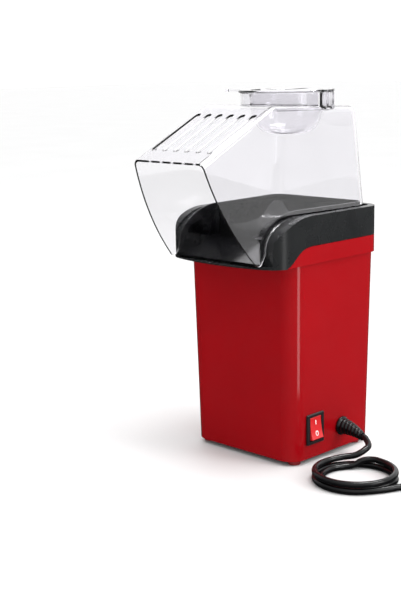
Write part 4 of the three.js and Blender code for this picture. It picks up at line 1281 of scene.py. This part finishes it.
@dataclass(frozen=True)
class SoftBox:
    """A large soft lamp that points at the appliance.

    A lamp for highlights only is seen in glossy surfaces and lights nothing else.
    """

    name: str
    place: Place
    size: tuple[float, float]
    power: float
    highlights_only: bool = False
    target: Place = (0.0, 0.0, 0.17)

    def add(self) -> None:
        """Adds the lamp."""
        bpy.ops.object.select_all(action="DESELECT")
        bpy.ops.object.light_add(type="AREA", location=self.place)
        lamp = bpy.context.object
        lamp.name = self.name
        lamp.data.shape = "RECTANGLE"
        lamp.data.size, lamp.data.size_y = self.size
        lamp.data.energy = self.power
        lamp.visible_camera = False
        lamp.visible_diffuse = not self.highlights_only
        aim = Vector(self.target) - Vector(self.place)
        lamp.rotation_euler = aim.to_track_quat("-Z", "Y").to_euler()


@dataclass
class Studio:
    """The pale floor, the soft lamps, the surroundings and the camera."""

    camera_place: Place = (0.7799, -0.8534, 0.3930)
    heading: float = 45.02
    pitch: float = 11.53
    roll: float = -1.106
    lens: float = 70.67

    def build(self) -> None:
        """Sets the stage."""
        self.camera()
        self.floor()
        self.surroundings()
        SoftBox("top_light", (0.5, 0.3, 1.9), (0.9, 0.9), 12).add()
        SoftBox("side_light", (1.5, 0.5, 0.9), (0.5, 0.9), 9).add()
        SoftBox("corner_strip", (0.62, -0.02, 0.13), (0.16, 0.5), 0.55, True, (0.0, 0.0, 0.13)).add()
        SoftBox("gloss_strip", (0.2, 0.5, 1.5), (0.12, 0.9), 16, True).add()
        scene = bpy.context.scene
        scene.view_settings.view_transform = "Standard"

    def camera(self) -> None:
        """Places the camera."""
        bpy.ops.object.camera_add(location=self.camera_place)
        camera = bpy.context.object
        camera.data.lens = self.lens
        camera.data.sensor_width = 36
        a, e, roll = (math.radians(v) for v in (self.heading, self.pitch, self.roll))
        ahead = Vector((-math.sin(a) * math.cos(e), math.cos(a) * math.cos(e), -math.sin(e)))
        right = Vector((math.cos(a), math.sin(a), 0))
        up = right.cross(ahead)
        tilted_right = right * math.cos(roll) + up * math.sin(roll)
        tilted_up = up * math.cos(roll) - right * math.sin(roll)
        turn = Matrix((tilted_right, tilted_up, -ahead)).transposed()
        camera.rotation_euler = turn.to_euler()
        bpy.context.scene.camera = camera

    def floor(self) -> None:
        """A wide white table top, which glossy surfaces don't mirror."""
        bpy.ops.object.select_all(action="DESELECT")
        bpy.ops.mesh.primitive_plane_add(size=30, location=(0, 0, 0))
        floor = bpy.context.object
        floor.name = "table_top"
        shader = Shader("table_white")
        shader.ramp(shader.noise(4, 2), (0.86, 0.86, 0.86), (0.88, 0.88, 0.88))
        shader.set(Roughness=0.55)
        floor.data.materials.append(shader.material)
        floor.visible_glossy = False

    def surroundings(self) -> None:
        """A bright room above the table, dimmer towards the front left and dark below the table."""
        world = bpy.data.worlds.new("studio")
        bpy.context.scene.world = world
        world.use_nodes = True
        tree = world.node_tree
        tree.nodes.clear()
        places = tree.nodes.new("ShaderNodeTexCoord")
        split = tree.nodes.new("ShaderNodeSeparateXYZ")
        ramp = tree.nodes.new("ShaderNodeValToRGB")
        back = tree.nodes.new("ShaderNodeBackground")
        output = tree.nodes.new("ShaderNodeOutputWorld")
        elements = ramp.color_ramp.elements
        # Dark below, light from the horizon up, and white overhead.
        elements[0].position, elements[0].color = 0.0, (0.05, 0.05, 0.05, 1)
        elements[1].position, elements[1].color = 0.9, (1.0, 1.0, 1.0, 1)
        elements.new(0.01).color = (0.84, 0.84, 0.84, 1)
        # The light part starts a little below the horizon, so that the table's far edge doesn't show.
        horizon = tree.nodes.new("ShaderNodeMath")
        horizon.inputs[1].default_value = 0.045
        # The sum of x and y is least towards the front left.
        towards = tree.nodes.new("ShaderNodeMath")
        dimming = tree.nodes.new("ShaderNodeMapRange")
        for name, value in (("From Min", -1.4), ("From Max", -0.25), ("To Min", 0.35), ("To Max", 1.3)):
            dimming.inputs[name].default_value = value
        tree.links.new(places.outputs["Generated"], split.inputs[0])
        tree.links.new(split.outputs["Z"], horizon.inputs[0])
        tree.links.new(horizon.outputs[0], ramp.inputs[0])
        tree.links.new(split.outputs["X"], towards.inputs[0])
        tree.links.new(split.outputs["Y"], towards.inputs[1])
        tree.links.new(towards.outputs[0], dimming.inputs["Value"])
        tree.links.new(dimming.outputs[0], back.inputs["Strength"])
        tree.links.new(ramp.outputs[0], back.inputs[0])
        tree.links.new(back.outputs[0], output.inputs[0])


def main() -> None:
    """Builds the stage and every sub-assembly."""
    logging.basicConfig(level=logging.INFO, format="%(message)s")
    Studio().build()
    shop = Workshop()
    boot = StrainRelief(shop).build()
    Cord(shop, boot).build()
    Housing(shop).build()
    UpperFrame(shop).build()
    Chute(shop).build()
    Cover(shop).build()
    MeasuringCup(shop).build()
    Switch(shop).build()
    shop.dress_nodes()


if __name__ == "__main__":
    main()
